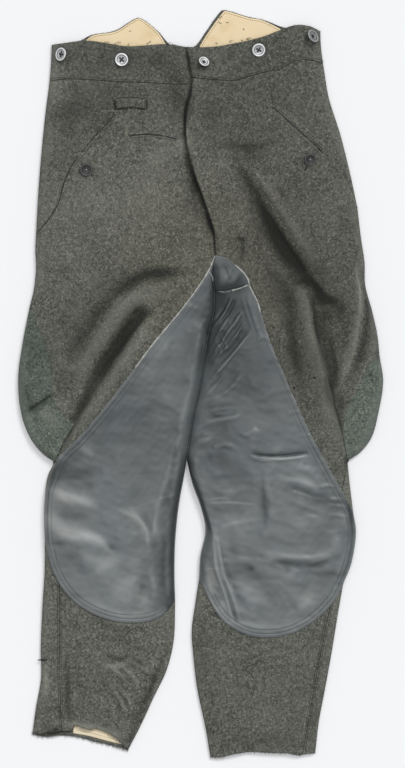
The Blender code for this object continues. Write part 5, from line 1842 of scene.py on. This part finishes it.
@dataclass
class Sewing:
    """Rows of stitches over the whole garment, joined by the slot they are sewn on."""

    finishes: Finishes

    # Curves: distance beside them, where the row starts and ends, how raised, pitch, radius
    ROWS = {
        Slot.LEATHER: """
            leather_edge_right knee_side_right leather_foot_right: 5.4 0.30 0.985 -0.35;
            leather_edge_right knee_side_right leather_foot_right: 10.8 0.40 0.90 -0.35;
            leather_edge_left knee_side_left leather_foot_left: -5.4 0.05 0.985 -0.35;
            leather_edge_left knee_side_left leather_foot_left: -10.8 0.42 0.96 -0.35;
            crotch_top: -2.6 0.1 0.95 -0.3 2.6 0.26
        """,
        Slot.WOOL: """
            calf_seam_right: -2.6 0.16 0.985 0.15 3.4 0.42;
            calf_seam_right: 2.6 0.16 0.985 0.15 3.4 0.42;
            calf_seam_left: -2.6 0.16 0.985 0.15 3.4 0.42;
            calf_seam_left: 2.6 0.16 0.985 0.15 3.4 0.42;
            slash_right: 4.5; slash_left: -4.5; band_seam_right: 3.2; band_seam_hip_right: 3.2;
            band_seam_left band_seam_hip_left: 3.2; fly_edge: 3.6 0.86
        """,
        Slot.COTTON: """
            lining_top_right: -2.4 0.04 0.97 0.1 3.4 0.3;
            lining_top_left: -2.6 0.02 0.97 0.1 3.4 0.3;
            strip_low: 5 0.05 0.95 0.1 3 0.22
        """,
    }
    NAMES = {Slot.LEATHER: "leather", Slot.WOOL: "wool", Slot.COTTON: "lining"}

    def build(self) -> None:
        """Make one piece for each slot."""
        for slot, text in self.ROWS.items():
            rows = [StitchRow(names, *map(float, row.split())) for names, row in entries(text)]
            shapes = [row.shape() for row in rows]
            name = f"{self.NAMES[slot]}_stitches"
            add_details(name, shapes, self.finishes["dark_thread"])


@dataclass(frozen=True)
class Bead:
    """A narrow raised edge along a path: raw leather, a seam's lip, a thick thread, or a line of painted
    shade or highlight.
    """

    path: Places
    ground: Relief
    width: float
    tall: float
    raised: float
    uneven: float
    taper: float
    step: float = 1.5

    SEED = 3

    def shape(self) -> Shape:
        """The bead, with a width that wanders and dies out at its ends.

        Returns:
            Its points and faces.
        """
        line = resample(smooth_line(self.path, self.step), 1.1)
        along = run_of(line)
        ends = np.minimum(along, along[-1] - along)
        swell = 1.0 + self.uneven * ripple(line, self.SEED, 5.0, 24.0)
        radius = 0.5 * self.width * swell.clip(0.3)
        radius *= 0.25 + 0.75 * quarter_round(ends, self.taper)
        height = self.ground.height(line) + self.raised
        return tubes(np.column_stack([line, height])[None], radius[None], 8, self.tall)


def beads_of(grounds: dict[Side, Relief], text: str) -> list[Bead]:
    """The beads of a table: half (0 right, 1 left), then Bead's numbers, then the places."""
    halves = list(Side)
    return [Bead(path, grounds[halves[int(head[0])]], *head[1:]) for path, head in rows_of(text)]


@dataclass
class Edges:
    """Pale raw edges of the leather and its seams, and duller stretches of its edges."""

    finishes: Finishes

    PALE = beads_of(OVER, """
        0 2 0.5 -0.5 0.3 4 2: 20,179 8,153 -22,110 -68,54 -92,22;
        1 2 0.5 -0.4 0.2 4 2: 47,166 53,161 60,154 66,145 67,139;
        1 1.8 0.5 -0.4 0.3 4 2: 67,139 72,128 79,114 83,100;
        1 1.7 0.5 -0.1 0.4 4 2: 66,138 54,133 43,130;
        0 1.3 0.6 0.1 0.2 2 1: 9,157 13,154 16,148 16.5,143
    """)
    DULL = beads_of(OVER, """
        0 1.1 0.5 -0.5 0.3 4 2: -92,22 -126,-23 -150,-53 -171,-76 -199,-104 -212,-128;
        1 1.2 0.5 -0.5 0.5 4 2: 83,100 95,62 123,-5 153,-71 186,-131 206,-168;
        1 1.2 0.5 -0.1 0.5 4 1: 43,130 36,128 30,128 24,129
    """)

    def build(self) -> None:
        """Make the pale and the dull edges."""
        for name, beads, finish in (
            ("raw_leather_edge", self.PALE, "cut_leather_edge"),
            ("worn_leather_edge", self.DULL, "worn_leather_edge"),
        ):
            shapes = [bead.shape() for bead in beads]
            add_details(name, shapes, self.finishes[finish])


@dataclass
class Loops:
    """Small loops of dark thread and specks on the cotton lining above the band."""

    finishes: Finishes
    reach: float = 3.0
    radius: float = 0.34

    # x, y, size, turn
    PLACES = places_of("""
        -132,476.5,1.3,0 -118,475,1.1,0.6 -114,477.5,0.7,2 -101,474,0.8,1.2 -74,475.5,0.7,0.3
        -71,478,0.5,1 -45,475,1.2,0.4 -38,474,0.8,2.2 42,478.5,0.9,0.4 67,482.5,1.1,0.2 28,512,1,0.9
        27,505.5,0.9,2.4 37,505,0.5,0 60,496,0.5,1.4 46,473,0.6,2 -99,493,0.4,0 22,475.5,0.6,0.3
        57,480.5,0.5,2
    """)

    def build(self) -> None:
        """Make all loops as one piece: three quarters of a turn each, standing a little up."""
        swing = np.linspace(0.0, 1.5 * np.pi, 9)
        x, y, size, turn = (column[:, None] for column in np.array(self.PLACES).T)
        wide = self.reach * size * (0.75 + 0.25 * np.cos(2.0 * swing))
        x = x + wide * np.cos(swing + turn)
        height = 9.0 * fade(y, 476.0, 484.0) + 3.2 + 0.8 * size * np.sin(swing)
        y = y + 0.6 * wide * np.sin(swing + turn)
        shape = tubes(np.stack([x, y, height], axis=-1), self.radius)
        add_details("thread_loops", [shape], self.finishes["black_thread_and_painted_shade"])


@dataclass(frozen=True)
class Strip:
    """A narrow strip of wool sewn on a front, arched between its ends where it is a strap."""

    node: str
    path: Places
    width: float
    side: Side
    arch: float
    wall: float
    raised: float = 0.35

    def build(self, finish: Material) -> Object:
        """Make the strip in place of its node.

        Args:
            finish: Its material.

        Returns:
            The object, a trim of its front panel.
        """
        line = smooth_line(self.path, 1.2)
        share = np.linspace(-0.5, 0.5, 9)
        plan = np.stack([beside(line, -part * self.width) for part in share], axis=1)
        flat = plan.reshape(-1, 2)
        along = np.linspace(0.0, 1.0, len(line))[:, None]
        lift = self.arch * np.sqrt(np.sin(np.pi * along).clip(0.0))
        height = FRONT[self.side].height(flat).reshape(plan.shape[:2])
        height = height.max(axis=1, keepdims=True) * 0.5 + height * 0.5
        round_off = 0.35 * bell(0.5 - np.abs(share), 0.12)
        top = np.dstack([plan, height + self.raised + self.wall + lift - round_off])
        mesh = make_mesh(self.node, *shell(top, self.wall, 0.12))
        # Painted shade and highlight from the strokes, kept for the finish
        tint_and_painted_shading = painted_shading_at(flat, Slot.WOOL)
        rim = border_of(np.arange(tint_and_painted_shading.size).reshape(plan.shape[:2]))
        store(mesh, "tint_and_painted_shading", np.concatenate([tint_and_painted_shading, tint_and_painted_shading, tint_and_painted_shading[rim]]))
        for name, level in (("edge", 9.0), ("groove", 0.0), ("hollow", 0.0)):
            store(mesh, name, np.full(len(mesh.vertices), level))
        return add_piece(f"{self.node}_cloth", mesh, finish, self.node)


@dataclass
class Pockets:
    """Pocket lips, the watch pocket, its strap, their tacks and buttonholes, black lines of painted shade
    and pale lines of painted highlight.
    """

    finishes: Finishes

    STRIPS = (
        Strip("pocket_lip_left", places_of("102,386 134,357 164,329"), 5.0, Side.LEFT, 0.0, 0.9),
        Strip(
            "watch_pocket_lip", places_of("-101,348 -70,350 -36,343"), 5.0, Side.RIGHT, 0.0,
            0.5, 0.1,
        ),
        Strip("watch_strap", places_of("-119,391 -98,393 -77,391"), 13.0, Side.RIGHT, 2.6, 1.6),
    )
    # Black lines of painted shade in the pocket mouths, along the fly's edge, round the watch strap and
    # in a crease at the right calf's edge
    SHADE_LINES = beads_of(FRONT, """
        0 1.3 0.4 0.7 0.2 8: -101,346.8 -82,348.6 -64,348 -48,345.4 -33,341.6;
        0 2.3 0.4 0.3 0.2 8: -119,383.8 -98,387.2 -77,383.2;
        0 1.7 0.4 0.3 0.2 8: -120.3,398 -120.6,391 -120,384;
        0 2.1 0.4 0.3 0.2 8: -75.6,397 -75.2,391 -76,384;
        0 1.1 0.4 0.3 0.2 8: -118,398.6 -98,400.4 -78,398.6;
        0 2.8 0.4 0.5 0.2 8: -229,-387 -222,-386.5 -216,-388;
        1 1.4 0.4 1.5 0.2 8: 101,387 128,362 164,330 171,323;
        0 0.8 0.4 0.3 0.2 8: -118,379 -133,362 -148,347 -163,328 -166,324;
        0 1 0.4 0.3 0.2 8: -172,317 -180,306 -189,288 -194,272 -199,253 -212,231 -229,211;
        0 1.7 0.4 1.4 0.2 8: -20,470 -17.5,453 -13.5,430;
        0 1.1 0.4 0.7 0.2 8: -14,428 -12,418 -18,398 -22,372 -21,345 -16,320;
        0 1.3 0.4 0.7 0.2 8: -17,322 -8,288 3,254 12,226 17.5,208;
        0 1.5 0.4 0.7 0.2 8: 16.5,214 19,195 20,181
    """)
    # Pale lines of painted highlight along the edges of the pocket lips
    WELTS = beads_of(FRONT, """
        1 1 0.4 1.6 0.2 8: 99,384.5 127,358.5 160,329 168,321.5;
        1 1 0.4 1.6 0.2 8: 104,390 131,365.5 166,334 174,326;
        1 0.9 0.4 0.9 0.2 8: 174,325 188,308 202,283 215,252;
        0 0.9 0.4 0.9 0.2 8: -136,377 -128,382 -119,380;
        0 1 0.4 0.8 0.2 8: -99,344.5 -82,346.2 -64,345.6 -48,343 -34,339.4
    """)
    HOLES = beads_of(FRONT, """
        0 1.7 0.5 0.1 0.2 1: -155.5,294 -150,289.5;
        1 1.7 0.5 0.1 0.2 1: 149,304.5 144.5,297.5
    """)
    TACKS = beads_of(FRONT, """
        0 1.5 0.6 0.2 0.3 1: -121,382 -119,376;
        0 1.5 0.6 0.2 0.3 1: -102.5,356 -102,349;
        1 1.5 0.6 0.2 0.3 1: 14.5,-462 15.5,-467
    """)

    def trims(self) -> dict[str, list[Object]]:
        """Make the strips.

        Returns:
            Lists of them by the panel that carries them.
        """
        made = {f"front_{side.value}": [] for side in Side}
        for strip in self.STRIPS:
            piece = strip.build(self.finishes["field_grey_wool"])
            made[f"front_{strip.side.value}"].append(piece)
        return made

    def build(self) -> None:
        """Make the lines of painted shade and highlight, the tacks and the buttonholes."""
        for name, beads, finish in (
            ("painted_shade_lines", self.SHADE_LINES, "black_thread_and_painted_shade"),
            ("pocket_welts", self.WELTS, "highlight_wool"),
            ("buttonholes", self.HOLES, "black_thread_and_painted_shade"),
            ("bar_tacks", self.TACKS, "olive_thread"),
        ):
            add_details(name, [bead.shape() for bead in beads], self.finishes[finish])


@dataclass(frozen=True)
class Button:
    """A dished four-hole button with a crossed thread, inside the box of its node.

    Its section is a curve from the middle to the rim and round to the back, turned about
    its axis. Four pits are pressed into the dish, each a bell curve round a hole's centre.
    """

    node: str
    lean: tuple[float, float] = (0.0, 0.0)
    turn: float = 0.6
    radius: float = 8.5
    hole_ring: float = 0.27
    hole_size: float = 0.14
    strand: float = 0.36
    shift: tuple[float, float, float] = (0.0, 0.0, 0.0)

    # Share of the radius, and height
    SECTION = places_of("""
        0,1.5 0.30,1.5 0.46,1.62 0.55,1.95 0.64,2.05 0.74,2.5 0.84,2.85 0.92,2.8 0.985,2.3 1,1.7
        0.97,1 0.85,0.4 0.70,0.15 0.4,0.1 0,0.1
    """)
    SIDES = 48
    PIT = 1.0
    SINK = 1.4

    # Across the dish: share of the way between two holes, and height
    STRAND = np.array([(-0.08, 0.9), (0.02, 1.6), (0.5, 2.15), (0.98, 1.6), (1.08, 0.9)])

    def place(self, points: Array) -> Array:
        """Lean points about the button's middle and set them on its node.

        Args:
            points: Points round the origin.

        Returns:
            The points on the garment.
        """
        low, high = (np.array(corner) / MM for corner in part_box(self.node))
        about_y, about_x = np.radians(self.lean)
        turned = Matrix.Rotation(about_x, 3, "X") @ Matrix.Rotation(about_y, 3, "Y")
        placed = points @ np.array(turned).T
        return placed + 0.5 * (low + high) + self.shift - (0.0, 0.0, self.SINK)

    def holes(self) -> Array:
        """Centres of the four holes."""
        turns = self.turn + np.pi * (0.25 + 0.5 * np.arange(4))
        return self.hole_ring * self.radius * np.column_stack([np.cos(turns), np.sin(turns)])

    def body(self) -> tuple[Array, list[Array], Array, Array]:
        """The button itself.

        Returns:
            Its points and faces, each point's share of the radius, and how much it lies in a
            hole.
        """
        section = smooth_line([(r * self.radius, z) for r, z in self.SECTION], 0.42)[1:-1]
        turns = np.linspace(0.0, 2.0 * np.pi, self.SIDES, endpoint=False)
        reach, level = section[:, :1], section[:, 1:] + 0.0 * turns
        rings = np.stack([reach * np.cos(turns), reach * np.sin(turns), level], axis=-1)
        face = (section[:, 0] < 0.5 * self.radius) & (section[:, 1] > 1.0)
        inside = np.zeros(rings.shape[:2])
        for hole in self.holes():
            away = np.hypot(rings[face, :, 0] - hole[0], rings[face, :, 1] - hole[1])
            deep = bell(away, self.hole_size * self.radius)
            rings[face, :, 2] -= self.PIT * deep
            inside[face] = np.maximum(inside[face], deep)
        index = np.arange(inside.size).reshape(inside.shape)
        turned = np.roll(index, -1, axis=1)
        walls = np.stack([index[:-1], index[1:], turned[1:], turned[:-1]], axis=-1).reshape(-1, 4)
        poles = index.size + np.arange(2)
        top = np.column_stack([np.full(self.SIDES, poles[0]), index[0], turned[0]])
        back = np.column_stack([np.full(self.SIDES, poles[1]), turned[-1], index[-1]])
        middle = [(0.0, 0.0, self.SECTION[0][1]), (0.0, 0.0, self.SECTION[-1][1])]
        points = np.vstack([rings.reshape(-1, 3), middle])
        share = np.hypot(points[:, 0], points[:, 1]) / self.radius
        return self.place(points), [walls, top, back], share, np.append(inside.ravel(), (0.0, 0.0))

    def threads(self) -> Shape:
        """The crossed thread, three strands each way.

        Returns:
            Their points and faces.
        """
        holes = self.holes()
        rows = []
        for start, end in ((holes[0], holes[2]), (holes[1], holes[3])):
            run = end - start
            aside = np.array([-run[1], run[0]]) / np.hypot(*run)
            for shift in (-1.5 * self.strand, 0.0, 1.5 * self.strand):
                plan = start + run * self.STRAND[:, :1] + aside * shift
                rows.append(np.column_stack([plan, self.STRAND[:, 1]]))
        points, faces = tubes(np.array(rows), self.strand, 6)
        return self.place(points), faces


@dataclass
class Buttons:
    """Zinc brace buttons, the closure button and two horn pocket buttons."""

    finishes: Finishes

    ZINC = (
        Button("brace_button_1", (-38.0, -8.0), 0.5, 9.4, 0.34, 0.18, shift=(1.7, -0.8, 0.8)),
        Button("brace_button_2", turn=0.1, radius=9.3, hole_ring=0.32, hole_size=0.15),
        Button("brace_button_3", (4.0, 8.0), 0.25, 9.3, 0.31, 0.15, shift=(-0.4, -0.4, 0.0)),
        Button("closure_button", (22.0, -34.0), 0.3, 7.8, 0.24, 0.12, shift=(-0.6, 0.8, -0.6)),
    )
    # The steeply leaning brace button, in the darker copy of the zinc painted as its shade
    SHADED_ZINC = (
        Button("brace_button_4", (40.0, -30.0), 0.4, 9.6, 0.24, 0.11, shift=(-1.0, 0.4, 0.6)),
    )
    HORN = (
        Button("pocket_button_right", (5.0, 6.0), 0.2, 9.0, 0.2, 0.09, 0.2),
        Button("pocket_button_left", (14.0, 10.0), 0.5, 8.4, 0.2, 0.09, 0.2),
    )

    def build(self) -> None:
        """Make the buttons in place of their nodes, and their threads."""
        for buttons, finish, slot, thread in (
            (self.ZINC, "zinc", Slot.ZINC, "black_thread_and_painted_shade"),
            (self.SHADED_ZINC, "shaded_zinc", Slot.ZINC, "black_thread_and_painted_shade"),
            (self.HORN, "dark_horn", Slot.HORN, "pale_thread"),
        ):
            for button in buttons:
                points, faces, share, inside = button.body()
                mesh = make_mesh(button.node, points, faces)
                store(mesh, "edge", share)
                # How far into a hole; the finish paints this black as shade
                store(mesh, "groove", inside)
                add_piece(f"{button.node}_body", mesh, self.finishes[finish], button.node)
            shapes = [button.threads() for button in buttons]
            add_details(f"{buttons[0].node}_threads", shapes, self.finishes[thread])


@dataclass(frozen=True)
class Fuzz:
    """Loose fibres along named curves: where they grow, how long and how thick."""

    names: str
    seed: int
    base: float
    spacing: float
    length: float
    radius: float
    outward: float

    def shape(self) -> Shape:
        """The fibres, each a bent hair that leaves the cloth outwards.

        Returns:
            Their points and faces.
        """
        draw = np.random.default_rng(self.seed)
        line = resample(chain(self.names), self.spacing)
        run = np.gradient(line, axis=0)
        run /= np.hypot(run[:, 0], run[:, 1])[:, None]
        out = left_of(run) * self.outward
        column = (len(line), 1)
        root = line + run * draw.normal(0.0, 0.5 * self.spacing, column) - out * 0.7
        heading = out + run * draw.normal(0.0, 0.75, column)
        heading /= np.hypot(heading[:, 0], heading[:, 1])[:, None]
        size = self.length * np.exp(draw.normal(0.0, 0.5, column)).clip(0.3, 2.2)
        bend = left_of(heading) * draw.normal(0.0, 0.35, column)
        share = np.array([0.0, 0.5, 1.0])[:, None]
        hair = heading[:, None] * share + bend[:, None] * share**2
        plan = root[:, None] + size[:, None] * hair
        base = self.base + draw.uniform(-0.8, 0.8, column)
        height = base + draw.normal(0.0, 0.5, column) * share[:, 0]
        radius = self.radius * np.array([1.0, 0.8, 0.35])
        return tubes(np.dstack([plan, height.clip(0.2)]), radius, 3)


@dataclass
class Fibres:
    """Nap that stands out round the wool, and the fray of its raw hems."""

    finishes: Finishes

    # Height, spacing, length, radius, and 1 where they grow to the left of the curves
    ROWS = """
        hip_side_right side_right: 1.5 0.8 0.9 0.08 -1;
        flare_right thigh_side_right: 1.5 0.8 0.9 0.08 -1;
        calf_side_right: 1.5 0.8 0.9 0.08 -1;
        hip_side_left side_left: 1.5 0.8 0.9 0.08 1;
        flare_left thigh_side_left: 1.5 0.8 0.9 0.08 1;
        calf_side_left: 1.5 0.8 0.9 0.08 1;
        inner_calf_right: 2 0.8 0.9 0.08 -1;
        inner_calf_left: 2 0.8 0.9 0.08 1;
        band_side_right: 2.5 0.8 0.9 0.08 -1;
        band_side_left: 2.5 0.8 0.9 0.08 1;
        band_top_right: 5 0.7 1.5 0.11 1;
        band_top_left: 5 0.7 1.5 0.11 1;
        peak_right: 1.2 0.9 1.4 0.11 1;
        peak_left: 1.2 0.9 1.4 0.11 1;
        hem_back_right: 1 0.28 2.6 0.17 -1;
        hem_strip_right: 2 0.28 2.6 0.17 -1;
        hem_front_right: 3.4 0.35 2 0.15 -1;
        -hem_strip_left: 2 0.4 2.2 0.15 1;
        hem_front_left: 2.4 0.35 2 0.15 1
    """

    def build(self) -> None:
        """Make all fibres as one piece."""
        shapes = [
            Fuzz(names, seed, *map(float, numbers.split())).shape()
            for seed, (names, numbers) in enumerate(entries(self.ROWS), 1)
        ]
        add_details("loose_fibres", shapes, self.finishes["grey_thread"])


@dataclass
class Studio:
    """Pale floor, soft lights, and a camera that looks straight down."""

    floor_half: float = 9000.0
    floor_drop: float = 0.3
    centre: tuple[float, float] = (2.1, -0.56)
    view_high: float = 1075.2
    distance: float = 9000.0
    sensor: float = 24.0

    # A key light from beyond the waist and a softer one from above: toward, power, spread
    LAMPS = {"key": ((0.48, 0.76, 0.95), 1.35, 20.0), "top": ((-0.10, 0.10, 1.0), 0.72, 50.0)}
    AROUND = (0.98, 0.985, 1.0, 1.0)
    AROUND_POWER = 0.36

    def build(self) -> None:
        """Make the floor, the lights, the surrounding light and the camera."""
        self.floor()
        self.lights()
        self.camera()

    def floor(self) -> None:
        """A level floor just under the garment, a little brighter than its light makes it."""
        half = self.floor_half
        corners = ((-half, half), (-half, -half), (half, -half), (half, half))
        points = np.array([(x, y, -self.floor_drop) for x, y in corners])
        mesh = make_mesh("floor", points, [np.array([[0, 1, 2, 3]])])
        mesh.materials.append(Paint("pale_floor").finish(
            Base_Color=(0.86, 0.865, 0.875), Roughness=0.9, Specular_IOR_Level=0.1,
            Emission_Color=(1.0, 1.0, 1.02), Emission_Strength=0.15,
        ))
        floor = bpy.data.objects.new("floor", mesh)
        bpy.context.scene.collection.objects.link(floor)

    def lights(self) -> None:
        """The lamps, and even light around."""
        for name, (toward, power, spread) in self.LAMPS.items():
            data = bpy.data.lights.new(name, "SUN")
            data.energy = power
            data.angle = math.radians(spread)
            lamp = bpy.data.objects.new(name, data)
            lamp.rotation_euler = Vector(toward).to_track_quat("Z", "Y").to_euler()
            bpy.context.scene.collection.objects.link(lamp)
        world = bpy.data.worlds.new("studio")
        world.use_nodes = True
        background = world.node_tree.nodes["Background"]
        background.inputs["Color"].default_value = self.AROUND
        background.inputs["Strength"].default_value = self.AROUND_POWER
        bpy.context.scene.world = world

    def camera(self) -> None:
        """A long lens over the middle of the photographed frame."""
        data = bpy.data.cameras.new("camera")
        data.sensor_fit = "VERTICAL"
        data.sensor_height = self.sensor
        data.lens = self.sensor * self.distance / self.view_high
        data.clip_end = 2.0 * self.distance * MM
        camera = bpy.data.objects.new("camera", data)
        camera.location = (self.centre[0] * MM, self.centre[1] * MM, self.distance * MM)
        bpy.context.scene.collection.objects.link(camera)
        bpy.context.scene.camera = camera
        bpy.context.scene.view_settings.view_transform = "Standard"


def main() -> None:
    """Build the garment and the studio, in the order of their layers."""
    logging.basicConfig(level=logging.INFO, format="%(name)s: %(message)s")
    finishes = Finishes()
    Studio().build()
    pockets = Pockets(finishes)
    Backs(finishes).build()
    Waist(finishes).build()
    Fronts(finishes).build(pockets.trims())
    Leathers(finishes).build()
    pockets.build()
    for details in (Sewing, Edges, Loops, Buttons, Fibres):
        details(finishes).build()


if __name__ == "__main__":
    main()
